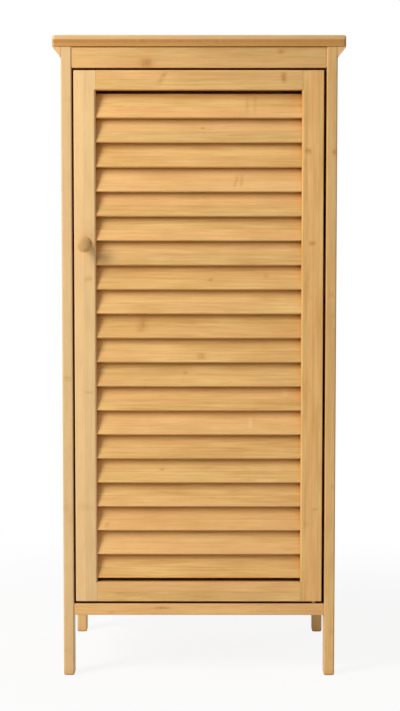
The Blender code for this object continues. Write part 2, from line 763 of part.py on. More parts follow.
def make_door_housings():
    """The slats and rail tenons, grown by the fitting gap, for the pockets in the stiles."""
    bm = bmesh.new()
    for body, bar in door_rails().values():
        add_box(bm, bar.grown(FIT_GAP))
    for level in slat_levels():
        add_slat(bm, FIT_GAP, slat_middle_y(), level)
    return add_cutter("door_housings", bm)


def make_pin_holes():
    bm = bmesh.new()
    centre = (PIVOT_X, PIVOT_Y)
    radius = PIN_DIAMETER / 2 + FIT_GAP
    depth = PIN_IN_STILE + FIT_GAP
    add_cylinder(bm, Z_AXIS, centre, radius, DOOR_TOP_Z - depth, DOOR_TOP_Z + OVERCUT)
    add_cylinder(bm, Z_AXIS, centre, radius, DOOR_BOTTOM_Z - OVERCUT, DOOR_BOTTOM_Z + depth)
    return add_cutter("pin_holes", bm)


def make_screw_hole():
    bm = bmesh.new()
    radius = SCREW_DIAMETER / 2 + FIT_GAP
    add_cylinder(bm, Y_AXIS, (KNOB_X, KNOB_Z), radius, FRONT_Y - OVERCUT, DOOR_BACK_Y + OVERCUT)
    return add_cutter("screw_hole", bm)


def make_stiles(material, router):
    """The door's uprights, with a slanted pocket for the end of every slat."""
    housings = make_door_housings()
    sides = {
        "left": (DOOR_LEFT_X, OPENING_LEFT_X, make_screw_hole()),
        "right": (DOOR_RIGHT_X, OPENING_RIGHT_X, make_pin_holes()),
    }
    stiles = []
    for side_name, (outer_x, inner_x, own_holes) in sides.items():
        box = Box((outer_x, inner_x), (FRONT_Y, DOOR_BACK_Y), (DOOR_BOTTOM_Z, DOOR_TOP_Z))
        bm = bmesh.new()
        add_box(bm, box)
        ease_edges(bm, EDGE_EASE, lambda edge: not lies_at(edge, X_AXIS, inner_x))
        name = f"door_stile_{side_name}"
        stile = add_piece(name, finish_mesh(name, bm), material)
        for cutter in (router, housings, own_holes):
            cut(stile, cutter)
        stiles.append(stile)
    return stiles


def make_door_rails(material, router):
    """The door's rails, eased along their outer edge and rounded along the opening."""
    outer_levels = (DOOR_BOTTOM_Z, DOOR_TOP_Z)
    rails = []
    for name, (body, bar) in door_rails().items():
        rail = make_rail(
            name, X_AXIS, body, bar, material,
            lambda edge: any(lies_at(edge, Z_AXIS, level) for level in outer_levels),
        )
        cut(rail, router)
        rails.append(rail)
    return rails


def make_slats(material):
    """Every slat is its own piece; all share one mesh."""
    bm = bmesh.new()
    add_slat(bm, 0.0, 0.0, 0.0)
    mesh = finish_mesh("slat", bm, smooth=True)
    slats = []
    for number, level in enumerate(slat_levels(), start=1):
        slat = add_piece(f"slat_{number:02d}", mesh, material)
        slat.location = (0.0, slat_middle_y(), level)
        slats.append(slat)
    return slats


def knob_profile():
    """From the bottom of the screw bore, over the flared foot and the domed head, to the front."""
    length = KNOB_PROJECTION - FIT_GAP
    bore = SCREW_DIAMETER / 2 + FIT_GAP
    head = KNOB_DIAMETER / 2
    neck = KNOB_NECK_DIAMETER / 2
    flare = KNOB_FOOT_DIAMETER / 2 - neck
    widest = length - KNOB_FACE_DOME
    neck_angle = math.acos(neck / head)
    neck_height = widest - KNOB_BACK_DOME * math.sin(neck_angle)
    profile = [(0.0, SCREW_GRIP), (bore, SCREW_GRIP), (bore, 0.0)]
    for step in range(ARC_STEPS):
        share = step / ARC_STEPS
        profile.append((neck + flare * (1 - share) ** 2, neck_height * share))
    for step in range(DOME_STEPS):
        angle = neck_angle * (1 - step / DOME_STEPS)
        profile.append((head * math.cos(angle), widest - KNOB_BACK_DOME * math.sin(angle)))
    for step in range(DOME_STEPS):
        angle = step / DOME_STEPS * math.pi / 2
        profile.append((head * math.cos(angle), widest + KNOB_FACE_DOME * math.sin(angle)))
    profile.append((0.0, length))
    return profile


def screw_profile():
    """A pan-headed screw, measured forwards from the back of the stile."""
    shank = SCREW_DIAMETER / 2
    head = SCREW_HEAD_DIAMETER / 2
    tip = DOOR_THICKNESS + SCREW_GRIP
    profile = [(0.0, -FIT_GAP - SCREW_HEAD_HEIGHT)]
    for step in range(1, ARC_STEPS + 1):
        angle = step / ARC_STEPS * math.pi / 2
        profile.append((head * math.sin(angle), -FIT_GAP - SCREW_HEAD_HEIGHT * math.cos(angle)))
    profile += [(shank, -FIT_GAP), (shank, tip - shank), (0.0, tip)]
    return profile


def make_knob(knob_material, screw_material):
    """The knob stands on the left stile, held by a screw from behind."""
    forwards = (math.radians(90.0), 0.0, 0.0)
    knob = turn_profile("knob", knob_profile(), knob_material)
    knob.rotation_euler = forwards
    knob.location = (KNOB_X, FRONT_Y - FIT_GAP, KNOB_Z)
    screw = turn_profile("knob_screw", screw_profile(), screw_material)
    screw.rotation_euler = forwards
    screw.location = (KNOB_X, DOOR_BACK_Y, KNOB_Z)
    return [knob, screw]


def make_hinge_pins(material):
    """The lower pin has a collar that carries the door; the upper one is plain."""
    shank = PIN_DIAMETER / 2
    tip = shank / 2
    collar = PIN_COLLAR_DIAMETER / 2
    collar_top = DOOR_BOTTOM_GAP - FIT_GAP
    lower_profile = [
        (0.0, -PIN_IN_BUSH), (tip, -PIN_IN_BUSH), (shank, tip - PIN_IN_BUSH), (shank, FIT_GAP),
        (collar, FIT_GAP), (collar, collar_top), (shank, collar_top),
        (shank, DOOR_BOTTOM_GAP + PIN_IN_STILE), (0.0, DOOR_BOTTOM_GAP + PIN_IN_STILE),
    ]
    upper_profile = [
        (0.0, -DOOR_TOP_GAP - PIN_IN_STILE), (shank, -DOOR_TOP_GAP - PIN_IN_STILE),
        (shank, PIN_IN_BUSH - tip), (tip, PIN_IN_BUSH), (0.0, PIN_IN_BUSH),
    ]
    lower = turn_profile("hinge_pin_bottom", lower_profile, material)
    lower.location = (PIVOT_X, PIVOT_Y, FRONT_RAIL_TOP_Z)
    upper = turn_profile("hinge_pin_top", upper_profile, material)
    upper.location = (PIVOT_X, PIVOT_Y, APRON_BOTTOM_Z)
    return [lower, upper]


def strike_plate_box():
    """The steel plate on the back of the door's top rail."""
    left = OPENING_LEFT_X + CATCH_FROM_STILE
    front = DOOR_BACK_Y + FIT_GAP
    top = DOOR_TOP_Z - CATCH_WALL
    return Box(
        (left, left + CATCH_WIDTH + 2 * STRIKE_MARGIN),
        (front, front + STRIKE_THICKNESS), (top - MAGNET_HEIGHT, top),
    )


def magnet_box():
    """The magnet, which meets the strike plate with its front."""
    plate = strike_plate_box()
    inset = STRIKE_MARGIN + CATCH_WALL
    front = plate.high.y + FIT_GAP
    return Box(
        (plate.low.x + inset, plate.high.x - inset),
        (front, front + MAGNET_DEPTH), (plate.low.z, plate.high.z),
    )


def make_catch_case(material):
    """The case is fixed behind the apron and hangs below it, round the magnet."""
    magnet = magnet_box()
    face = magnet.low.y + MAGNET_PROUD
    seat = APRON_BACK_Y + FIT_GAP
    back = max(magnet.high.y + FIT_GAP, seat) + CATCH_WALL
    bottom = magnet.low.z - CATCH_WALL
    step = APRON_BOTTOM_Z - FIT_GAP
    top = APRON_BOTTOM_Z + CATCH_ON_APRON
    outline = [(face, bottom), (back, bottom), (back, top), (seat, top), (seat, step), (face, step)]
    sections = []
    for x in (magnet.low.x - CATCH_WALL, magnet.high.x + CATCH_WALL):
        sections.append([Vector((x, y, z)) for y, z in outline])
    bm = bmesh.new()
    loft(bm, sections)
    ease_edges(bm, CATCH_EASE, lambda edge: lies_at(edge, Y_AXIS, back))
    case = add_piece("catch_case", finish_mesh("catch_case", bm), material)
    pocket = magnet.grown(FIT_GAP)
    pocket.low.y -= OVERCUT
    bm = bmesh.new()
    add_box(bm, pocket)
    cut(case, add_cutter("magnet_pocket", bm))


def hang_on_hinge(pieces):
    """Everything that swings with the door follows an empty on the pivot axis."""
    hinge = bpy.data.objects.new("door_hinge", None)
    hinge.location = (PIVOT_X, PIVOT_Y, DOOR_BOTTOM_Z)
    bpy.context.scene.collection.objects.link(hinge)
    for piece in pieces:
        cutters = [modifier.object for modifier in piece.modifiers]
        for swinging in [piece] + cutters:
            swinging.parent = hinge
            swinging.matrix_parent_inverse = Matrix.Translation(-hinge.location)


def build_carcass(materials):
    make_top_board(materials["board"])
    make_side_mouldings(materials["frame"])
    make_posts(materials["frame"])
    make_carcass_rails(materials["board"])
    make_carcass_panels(materials["panel"])
    make_shelves(materials["panel"], materials["frame"])
    make_hinge_bushes(materials["bush"])
    make_catch_case(materials["catch"])
    make_plain_box("catch_magnet", magnet_box(), materials["magnet"])


def build_door(materials):
    router = make_opening_router()
    pieces = make_stiles(materials["frame"], router)
    pieces += make_door_rails(materials["frame"], router)
    pieces += make_slats(materials["slat"])
    pieces += make_knob(materials["knob"], materials["steel"])
    pieces += make_hinge_pins(materials["steel"])
    pieces.append(make_plain_box("strike_plate", strike_plate_box(), materials["steel"]))
    hang_on_hinge(pieces)


def main():
    for leftover in list(bpy.data.objects):
        bpy.data.objects.remove(leftover, do_unlink=True)
    materials = make_materials()
    build_carcass(materials)
    build_door(materials)
    bpy.context.view_layer.update()


main()
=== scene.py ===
"""Looks of a narrow bamboo storage cabinet with a louvred door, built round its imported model."""

import math

import bmesh
import bpy
from mathutils import Matrix, Vector


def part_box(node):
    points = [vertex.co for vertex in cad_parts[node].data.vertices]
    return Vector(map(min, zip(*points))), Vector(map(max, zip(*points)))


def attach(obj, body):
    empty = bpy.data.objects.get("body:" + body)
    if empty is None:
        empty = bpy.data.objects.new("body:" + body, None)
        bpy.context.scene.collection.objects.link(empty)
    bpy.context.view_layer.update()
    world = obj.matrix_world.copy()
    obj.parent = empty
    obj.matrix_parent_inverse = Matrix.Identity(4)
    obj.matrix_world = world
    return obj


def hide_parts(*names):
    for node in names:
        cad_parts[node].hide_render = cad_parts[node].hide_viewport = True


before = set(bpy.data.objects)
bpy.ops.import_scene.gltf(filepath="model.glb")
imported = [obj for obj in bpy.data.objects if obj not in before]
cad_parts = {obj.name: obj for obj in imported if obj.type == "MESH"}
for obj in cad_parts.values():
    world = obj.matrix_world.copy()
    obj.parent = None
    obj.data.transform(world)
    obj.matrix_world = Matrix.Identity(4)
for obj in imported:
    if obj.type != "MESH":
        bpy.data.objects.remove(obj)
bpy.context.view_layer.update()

# Camera: where it stands and how it looks, in metres and degrees
CAMERA_PLACE = (0.0060, -2.5617, 0.6338)
CAMERA_PITCH_DOWN = 4.302
CAMERA_YAW_RIGHT = -0.112
CAMERA_ROLL = 0.010
CAMERA_LENS = 88.93
SENSOR_LONG_SIDE = 36.0

# Lamps: azimuth from the front to the left, elevation, distance, size and power. The key stands
# at the upper left in front, the fill low on the right, and a weak one behind on the right for
# the sides that the camera doesn't see.
AIM = (0.0, -0.10, 0.48)
LAMPS = {
    "key": (51.5, 31.0, 2.8, (0.95, 1.9), 77.0),
    "fill": (-62.0, 6.0, 2.6, (1.6, 1.2), 3.5),
    "back": (-140.0, 30.0, 3.0, (1.6, 1.6), 15.0),
}
ROOM_LIGHT = 0.20

# Floor: how far it reaches, out to where it shows a shadow, and how strongly it shows it
FLOOR_RADIUS = 14.0
FLOOR_POINTS = 96
FLOOR_SHADE_RADIUS = 1.1
FLOOR_SHADE_CORE = 0.35
FLOOR_LIT_SHARE = 0.11
FLOOR_WAVES = (320.0, 320.0, 320.0)

# How many slats there are and how they lean, and the plies of the top board
SLAT_COUNT = 20
SLAT_TILT = math.radians(18.5)
TOP_BOARD_FACE_PLY = 0.0062
TOP_BOARD_CORE_PLY = 0.0050
PLY_BLUR = 0.0005

# Joints: how wide they are, how deep the glue in them lies below the face, and the grooves that
# the rounded edges of two pieces form in front of it
JOINT_GAP = 0.0003
GLUE_EASE = 0.00002
GLUE_DEPTH = 0.0002
GLUE_REACH = 0.003
EASED_EDGE = 0.0014
GROOVE_DEPTH = 0.00015
GROOVE_FLARE = 0.00045
GROOVE_LEAD = 0.00105
TRIM_FLARE = 0.00045
TRIM_LEAD = 0.0019

# Bamboo: the widths of its strips and of the joints between them, and its layers, which start a
# little off a piece's face so that the whole face lies in one
WIDE_STRIP = 0.0190
FRAME_STRIP = 0.0140
SLAT_STRIP = 0.0165
STILE_STRIP = 0.0078
NARROW_STRIP = 0.0060
STRIP_JOINT = 0.00022
LAYER_DEPTH = 0.0052
LAYER_START = 0.01

# A strip's nodes: how far apart they are and how they wander. Each has three parts, given by
# how far off its middle they lie, how wide they are and how strongly they show.
NODE_SPACING = 0.34
NODE_WOBBLE = 0.005
NODE_PARTS = ((0.0, 0.0013, 0.36), (0.0, 0.0055, 0.30), (0.0040, 0.0011, 0.16))
FULL_NODES = 0.8
HALF_NODES = 0.6
FEW_NODES = 0.12
SLAT_NODES = 0.10

# Nodes at chosen places: how far they bend, how long and how strong they are against what
# their table says, and how square their ends are
MARK_BEND = 0.0030
MARK_SPREAD = 1.35
MARK_SHARE = 0.88
MARK_SQUARENESS = 4.0

# Noises: waves per metre along the grain, across the strips and through the layers
FIBRE_WAVES = (90.0, 1900.0, 1900.0)
STREAK_WAVES = (14.0, 420.0, 420.0)
BAND_WAVES = (6.0, 95.0, 95.0)
CLOUD_WAVES = (11.0, 34.0, 34.0)
PORE_WAVES = (40.0, 1300.0, 1300.0)
END_DOT_WAVES = (300.0, 1500.0, 1500.0)
WOBBLE_WAVES = (45.0, 130.0, 130.0)
BEND_WAVES = (60.0, 120.0, 120.0)
MARK_LINE_WAVES = (620.0, 80.0, 80.0)
SEED_SHIFT = (3.17, 1.73, 2.39)

# How much each sign changes the wood's brightness, and the middle that it changes it about
FIBRE_SHADE = (0.10, 1.0)
STRIP_SHADE = (0.09, 1.0)
CLOUD_SHADE = (0.10, 1.0)
JOINT_SHADE = (-0.14, 0.93)
PORE_SHADE = (-0.10, 0.95)
END_DOT_SHADE = (0.5, 1.0)
NODE_SHADE = (1.0, 0.95)
MARK_LINE_SHADE = (0.45, 0.78)

# From where to where a value counts as 0 to 1
ROSE_RANGE = (0.36, 0.64)
STREAK_RANGE = (0.30, 0.70)
PORE_RANGE = (0.60, 0.72)
NODE_RANGE = (0.42, 0.80)
MARK_LINE_RANGE = (0.38, 0.64)
END_GRAIN_RANGE = (0.62, 0.92)
WORN_RANGE = (0.995, 0.90)
# Where painted shade shows, by how open a point is: in the creases, then deep in the gaps
PAINTED_CREVICE_SHADE_RANGE = (0.92, 0.28)
PAINTED_GAP_SHADE_RANGE = (0.40, 0.10)

# How much of a colour lies over the wood
ROSE_SHARE = 0.45
END_GRAIN_SHARE = 0.62
CORE_SHARE = 0.30
WORN_SHARE = 0.20
# How strongly painted shade fills the deep gaps
PAINTED_GAP_SHADE_SHARE = 0.88

# Roughness and height. Those with two values give a noise's amount and its middle.
WOOD_ROUGHNESS = (0.14, 0.40)
NODE_ROUGHNESS = 0.10
END_ROUGHNESS = 0.16
WORN_ROUGHNESS = 0.10
HEIGHT_PARTS = {"fibres": 0.35, "streaks": 0.65, "joints": -0.9, "pores": -0.35, "nodes": 0.8}
WOOD_BUMP = (0.55, 0.00009)
WOOD_SPECULAR = 0.12

# Worn edges, and how near other faces have to be for painted shade in a crevice
WORN_RADIUS = 0.0012
WORN_SAMPLES = 4
PAINTED_SHADE_REACH = 0.018
PAINTED_SHADE_SAMPLES = 8

# Other materials. A bump is its strength and its depth.
GLUE_CLOUD_WAVES = (90.0, 90.0, 40.0)
GLUE_GRAIN_WAVES = (900.0, 900.0, 900.0)
GLUE_ROUGHNESS = (0.2, 0.5)
GLUE_BUMP = (0.4, 0.00005)
BRUSHED_WAVES = (260.0, 260.0, 2400.0)
BRUSHED_ROUGHNESS = 0.16
BRUSHED_BUMP = (0.3, 0.00003)
DULL_WAVES = (190.0, 190.0, 190.0)
DULL_RANGE = (0.40, 0.68)
DULL_TONE = 0.62
DULL_SHARE = 0.35
DULL_ROUGHNESS = 0.12
MOULDED_GRAIN_WAVES = (2600.0, 2600.0, 2600.0)
MOULDED_CLOUD_WAVES = (120.0, 120.0, 120.0)
MOULDED_RANGE = (0.3, 0.7)
MOULDED_TONE = 0.76
MOULDED_ROUGHNESS = 0.12
MOULDED_BUMP = (0.4, 0.00004)

# Where each group of pieces starts in the noises, so that no two are alike
SEEDS = {"top_board": 3.0, "knob": 5.0, "uprights": 11.0, "front_rails": 21.0, "slats": 31.0,
         "boards": 61.0, "mouldings": 83.0, "plugs": 91.0}
CORE_SEED_STEP = 0.5

# Tones of the pieces, from one end of the grain to the other, and how pale they are. A tone that
# changes from one end to the other is a painted falloff of the light.
TOP_BOARD_TONES = (1.02, 0.90)
TOP_BOARD_PALE = 0.40
TOP_BOARD_END = 0.5
CORE_TONE = 0.94
# The ply under the top board's core: partly its own tone, partly painted shade
LOWER_PLY_TONE_AND_SHADE = 0.80
RAIL_PALE = 0.08
SLAT_TONES = (1.01, 0.98)
SLAT_TONE_WAVES = ((0.022, 2.4), (0.012, 5.1))
SLAT_PALE = 0.05
SLAT_PALE_STEP = 3.7
BOARD_TONE_WAVE = (0.02, 1.9)
# The mouldings' paleness and tone: partly their own, partly painted light over the shade under the
# top board
MOULDING_LOOKS = {"left": (0.45, 1.02), "right": (0.3, 0.96)}
MOULDING_END = 0.1
# The knob's tone: partly its own darker wood, partly painted shade that its low dome doesn't cast
KNOB_TONE = 0.84
KNOB_PALE = 0.28
KNOB_END = 0.5
PLUG_TONE = 0.93

# Posts and door stiles: their strips, how pale they are, their tones at the foot and the head.
# Paleness and tones are partly each piece's own and partly painted light: a painted sheen makes the
# left-hand pieces paler and lighter towards the head, and painted fill lightens the rear right
# post.
UPRIGHTS = {
    "post_front_left": (FRAME_STRIP, 0.66, (0.89, 0.92)),
    "post_front_right": (FRAME_STRIP, 0.16, (0.97, 0.84)),
    "post_rear_left": (FRAME_STRIP, 0.45, (0.96, 0.98)),
    "post_rear_right": (FRAME_STRIP, 0.60, (1.25, 1.0)),
    "door_stile_left": (FRAME_STRIP, 0.60, (0.94, 0.99)),
    "door_stile_right": (STILE_STRIP, 0.0, (1.0, 0.96)),
}

# Level pieces of the front: their tones at the left and the right, a tone of their own with a
# painted falloff of the light from left to right
FRONT_RAILS = {
    "front_apron": (0.97, 0.79),
    "front_bottom_rail": (1.03, 0.98),
    "door_rail_top": (1.08, 0.90),
    "door_rail_bottom": (1.01, 1.0),
}

# Small fasteners. Recess, flange and crown are shares of the head's radius or height.
SCREW_HEAD = (0.0034, 0.0019)
SMALL_SCREW_HEAD = (0.0024, 0.0014)
HEAD_FLANGE = 0.10
HEAD_UNDERSIDE = 0.93
HEAD_CROWN = 0.62
HEAD_STEPS = 4
HEAD_POINTS = 48
RECESS_DEPTH = 0.0012
RECESS_ARM = 0.52
RECESS_HALF_WIDTH = 0.13
RECESS_LIP = 1.06
RECESS_LIP_DEPTH = 0.12
RECESS_FLOOR = 0.86
CLEAT_SCREW_REACH = 0.40
STRIKE_SCREW_REACH = 0.39
CATCH_SCREW_REACH = 0.30

# Plugs. Their profile is the height and how far in they are rounded, in heights.
PLUG_RADIUS = 0.0050
PLUG_HEIGHT = 0.00035
PLUG_PROFILE = ((0.0, 0.0), (0.55, 0.0), (0.90, 0.5), (1.0, 1.4))
PLUG_BELOW_MOULDING = 0.002

# The knob: neck and foot as shares of its head, its domes as shares of its length
KNOB_NECK = 0.5
KNOB_FOOT = 0.6818
KNOB_FACE_DOME = 0.2954
KNOB_BACK_DOME = 0.2110
KNOB_STEPS = 12
KNOB_POINTS = 96

# Edges steeper than these stay sharp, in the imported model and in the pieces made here
SHARP_ANGLE = math.radians(50.0)
OWN_SHARP_ANGLE = math.radians(40.0)

MM = 0.001
TINY = 1e-5


def srgb(red, green, blue):
    """A colour from display values of 0 to 255, as linear RGBA."""

    def linear(value):
        share = value / 255
        if share <= 0.04045:
            return share / 12.92
        return ((share + 0.055) / 1.055) ** 2.4

    return (linear(red), linear(green), linear(blue), 1.0)


STRAW = srgb(237, 194, 124)
HONEY = srgb(214, 162, 92)
ROSE = srgb(230, 172, 113)
NODE_BROWN = srgb(168, 98, 34)
OLIVE = srgb(184, 146, 76)
AMBER = srgb(214, 132, 66)
PALE_STRAW = srgb(246, 214, 152)
END_BROWN = srgb(176, 118, 58)
PALE_WOOD = srgb(242, 207, 154)
WORN_WOOD = srgb(246, 214, 162)
# Painted shade deep in the gaps
PAINTED_GAP_SHADE_BROWN = srgb(128, 34, 8)
# The ply under the top board's core: partly its own tone, partly painted shade
LOWER_PLY_TONE_AND_SHADE_TINT = (1.0, 0.82, 0.58, 1.0)
# Painted shade in the creases
PAINTED_CREVICE_SHADE_TINT = (0.94, 0.75, 0.47, 1.0)
DARK_GLUE = srgb(204, 154, 96)
LIGHT_GLUE = srgb(222, 176, 118)
DARK_FLOOR = (0.86, 0.86, 0.86, 1.0)
LIGHT_FLOOR = (0.93, 0.93, 0.93, 1.0)
WHITE = (1.0, 1.0, 1.0, 1.0)

# Hardware: colour and roughness
ZINC = (srgb(205, 206, 208), 0.32)
YELLOW_ZINC = (srgb(232, 200, 140), 0.40)
OILED_STEEL = (srgb(62, 52, 44), 0.50)
BRASS = (srgb(214, 178, 104), 0.30)
BROWN_PLASTIC = (srgb(84, 56, 36), 0.45)
DARK_MAGNET = (srgb(46, 44, 44), 0.38)

# Nodes that the photograph shows. Each has its share of the piece's width and of its height,
# half its width and half its height in millimetres, how much it leans, its strength and, where
# it isn't brown, its colour.
PHOTO_MARKS = {
    "front_apron": (
        (0.301, 0.236, 7.0, 6.6, 0.0, 0.75),
        (0.808, 0.775, 3.4, 3.6, 0.0, 0.6),
    ),
    "door_rail_top": (
        (0.331, 0.599, 3.0, 7.8, 0.6, 0.45),
        (0.889, 0.644, 2.6, 7.2, 0.0, 0.8),
    ),
    "door_rail_bottom": (
        (0.138, 0.058, 6.6, 1.6, 0.0, 0.35),
        (0.128, 0.427, 4.0, 1.5, 0.0, 0.3),
    ),
    "front_bottom_rail": (
        (0.356, 0.642, 9.0, 1.8, 0.0, 0.7),
        (0.163, 0.243, 4.0, 1.5, 0.0, 0.3),
    ),
    "slat_01": (
        (0.723, 0.542, 1.5, 13.0, 0.0, 0.45, OLIVE),
        (0.76, 0.542, 1.5, 13.0, 0.0, 0.45, OLIVE),
    ),
    "slat_02": ((0.519, 0.6, 1.6, 1.6, 0.0, 0.6),),
    "slat_04": (
        (0.672, 0.434, 1.8, 8.3, 0.2, 0.36),
        (0.698, 0.46, 1.8, 8.3, 0.0, 0.4),
    ),
    "slat_08": (
        (0.556, 0.404, 2.2, 2.2, 0.0, 0.55),
        (0.814, 0.542, 2.8, 4.1, 0.0, 0.25),
    ),
    "slat_10": ((0.237, 0.543, 5.2, 11.0, 0.25, 0.5),),
    "slat_11": ((0.513, 0.257, 4.6, 5.2, 0.0, 0.55),),
    "slat_12": ((0.436, 0.561, 2.4, 2.2, 0.0, 0.5),),
    "slat_13": ((0.902, 0.706, 2.8, 5.5, 0.0, 0.4, PALE_STRAW),),
    "slat_14": ((0.741, 0.461, 2.0, 8.3, 0.0, 0.45, PALE_STRAW),),
    "slat_16": (
        (0.328, 0.543, 2.4, 2.2, 0.0, 0.55),
        (0.815, 0.087, 10.3, 1.6, 0.0, 0.45, PALE_STRAW),
    ),
    "slat_18": ((0.068, 0.238, 2.4, 4.1, 0.0, 0.35),),
    "door_stile_left": (
        (0.657, 0.612, 5.5, 2.2, 0.0, 0.55),
        (0.666, 0.399, 6.9, 1.4, 0.0, 0.35),
        (0.548, 0.181, 12.4, 4.8, 0.0, 0.35, OLIVE),
    ),
    "door_stile_right": (
        (0.285, 0.85, 4.6, 2.8, 0.0, 0.7),
        (0.489, 0.679, 4.6, 2.4, 0.0, 0.65),
        (0.314, 0.602, 1.2, 20.0, 0.0, 0.4),
        (0.667, 0.176, 4.8, 1.5, 0.0, 0.35),
        (0.275, 0.148, 3.4, 3.4, 0.0, 0.35, OLIVE),
    ),
    "post_front_left": (
        (0.421, 0.479, 5.5, 2.8, 0.0, 0.45, OLIVE),
        (0.308, 0.271, 5.5, 3.4, 0.0, 0.4, OLIVE),
        (0.665, 0.253, 2.8, 3.4, 0.0, 0.45, AMBER),
    ),
    "post_front_right": (
        (0.764, 0.836, 3.6, 3.0, 0.0, 0.65),
        (0.519, 0.612, 4.4, 3.0, 0.0, 0.55, AMBER),
        (0.696, 0.579, 3.6, 2.8, 0.0, 0.45, OLIVE),
        (0.79, 0.305, 3.6, 2.8, 0.0, 0.45, OLIVE),
        (0.702, 0.072, 4.4, 3.6, 0.0, 0.4, AMBER),
    ),
}


class Graph:
    """Builds the nodes of one tree, in short calls."""

    def __init__(self, tree):
        self.tree = tree

    def feed(self, socket, value):
        if value is None:
            return
        if isinstance(value, bpy.types.NodeSocket):
            self.tree.links.new(value, socket)
        else:
            socket.default_value = value

    def node(self, kind, *values, named=None, **settings):
        """A node whose inputs are fed in their order, or by name."""
        node = self.tree.nodes.new("ShaderNode" + kind)
        for name, value in settings.items():
            setattr(node, name, value)
        for socket, value in zip(node.inputs, values):
            self.feed(socket, value)
        for name, value in (named or {}).items():
            self.feed(node.inputs[name], value)
        return node

    def maths(self, operation, *values):
        return self.node("Math", *values, operation=operation).outputs[0]

    def plus(self, first, second):
        return self.maths("ADD", first, second)

    def minus(self, first, second):
        return self.maths("SUBTRACT", first, second)

    def times(self, first, second):
        return self.maths("MULTIPLY", first, second)

    def between(self, value, low, high):
        """0 where value is at low, 1 where it is at high, and smooth in between."""
        node = self.node("MapRange", value, low, high, 0.0, 1.0)
        node.interpolation_type = "SMOOTHSTEP"
        return node.outputs[0]

    def spread(self, value, amount, middle=1.0):
        """middle, give or take half of amount, as value goes from 0 to 1."""
        return self.maths("MULTIPLY_ADD", value, amount, middle - amount / 2)

    def vector(self, operation, *values):
        return self.node("VectorMath", *values, operation=operation).outputs[0]

    def mix(self, factor, first, second, blend="MIX"):
        node = self.node("Mix", data_type="RGBA", blend_type=blend)
        self.feed(node.inputs[0], factor)
        self.feed(node.inputs[6], first)
        self.feed(node.inputs[7], second)
        return node.outputs[2]

    def noise(self, place, stretch, detail=2.0, roughness=0.5):
        """Noise from 0 to 1, with stretch giving its waves per metre in each direction."""
        scaled = self.vector("MULTIPLY", place, stretch)
        named = {"Vector": scaled, "Scale": 1.0, "Detail": detail, "Roughness": roughness}
        return self.node("TexNoise", named=named).outputs["Fac"]

    def bell(self, distance, width):
        """1 at no distance, and falling away over width."""
        share = self.maths("DIVIDE", distance, width)
        square = self.times(share, share)
        return self.maths("EXPONENT", self.times(square, -1.0))

    def total(self, *weighed):
        """The sum of values, each times its weight."""
        parts = [self.times(value, weight) for value, weight in weighed]
        total = parts[0]
        for part in parts[1:]:
            total = self.plus(total, part)
        return total


def random_cell(g, first, second, seed):
    """A random colour for each whole step of two values, and its three parts."""
    steps = (g.maths("FLOOR", first), g.maths("FLOOR", second))
    place = g.node("CombineXYZ", *steps, seed).outputs[0]
    colour = g.node("TexWhiteNoise", place, noise_dimensions="3D").outputs["Color"]
    return colour, g.node("SeparateColor", colour).outputs


def strip_joints(g, strip_share, strip):
    """1 on the glue lines between strips."""
    fraction = g.maths("FRACT", strip_share)
    nearest = g.maths("MINIMUM", fraction, g.minus(1.0, fraction))
    return g.bell(g.times(nearest, strip), STRIP_JOINT)


def strip_nodes(g, given, place, along, strip_share, start, streaks):
    """How strongly a node shows: once per spacing on a strip, plain, faint or not at all."""
    turn = g.plus(g.maths("DIVIDE", along, NODE_SPACING), start)
    chance = random_cell(g, turn, strip_share, given["Seed"])[1]
    away = g.minus(g.maths("FRACT", turn), g.spread(chance[0], 0.5, 0.5))
    away = g.times(away, NODE_SPACING)
    away = g.plus(away, g.spread(g.noise(place, WOBBLE_WAVES), NODE_WOBBLE, 0.0))
    parts = [(g.bell(g.minus(away, offset), width), strength)
             for offset, width, strength in NODE_PARTS]
    chosen = g.between(chance[1], *NODE_RANGE)
    shown = g.times(g.total(*parts), g.times(chosen, given["Nodes"]))
    shown = g.times(shown, g.spread(streaks, *NODE_SHADE))
    return g.node("Clamp", shown).outputs[0]


def wood_signs(g, given):
    """What shows in the wood: its noises, a random number for each strip, joints and nodes."""
    along, across, through = g.node("SeparateXYZ", given["Place"]).outputs
    strip_share = g.maths("DIVIDE", across, given["Strip"])
    layer_share = g.plus(g.maths("DIVIDE", through, given["Layer"]), LAYER_START)
    cell, cell_parts = random_cell(g, strip_share, layer_share, given["Seed"])
    seed_shift = g.vector("SCALE", SEED_SHIFT)
    g.feed(seed_shift.node.inputs["Scale"], given["Seed"])
    place = g.vector("ADD", g.vector("ADD", given["Place"], seed_shift), cell)
    streaks = g.noise(place, STREAK_WAVES, detail=3.0, roughness=0.6)
    return {
        "place": place,
        "strip": cell_parts[2],
        "fibres": g.noise(place, FIBRE_WAVES, 1.0),
        "streaks": streaks,
        "bands": g.noise(place, BAND_WAVES),
        "clouds": g.noise(place, CLOUD_WAVES),
        "pores": g.between(g.noise(place, PORE_WAVES, 1.0), *PORE_RANGE),
        "joints": strip_joints(g, strip_share, given["Strip"]),
        "nodes": strip_nodes(g, given, place, along, strip_share, cell_parts[0], streaks),
    }


def wood_shade(g, given, signs):
    """How bright the wood is, from what shows in it, the piece's tone and its cut ends."""
    shade = g.spread(signs["fibres"], *FIBRE_SHADE)
    for name, amounts in (("strip", STRIP_SHADE), ("clouds", CLOUD_SHADE),
                          ("joints", JOINT_SHADE)):
        shade = g.times(shade, g.spread(signs[name], *amounts))
    shade = g.times(shade, given["Tone"])
    shade = g.times(shade, g.spread(signs["pores"], *PORE_SHADE))
    dots = g.spread(g.noise(signs["place"], END_DOT_WAVES), *END_DOT_SHADE)
    return g.times(shade, g.mix(given["End"], WHITE, dots))


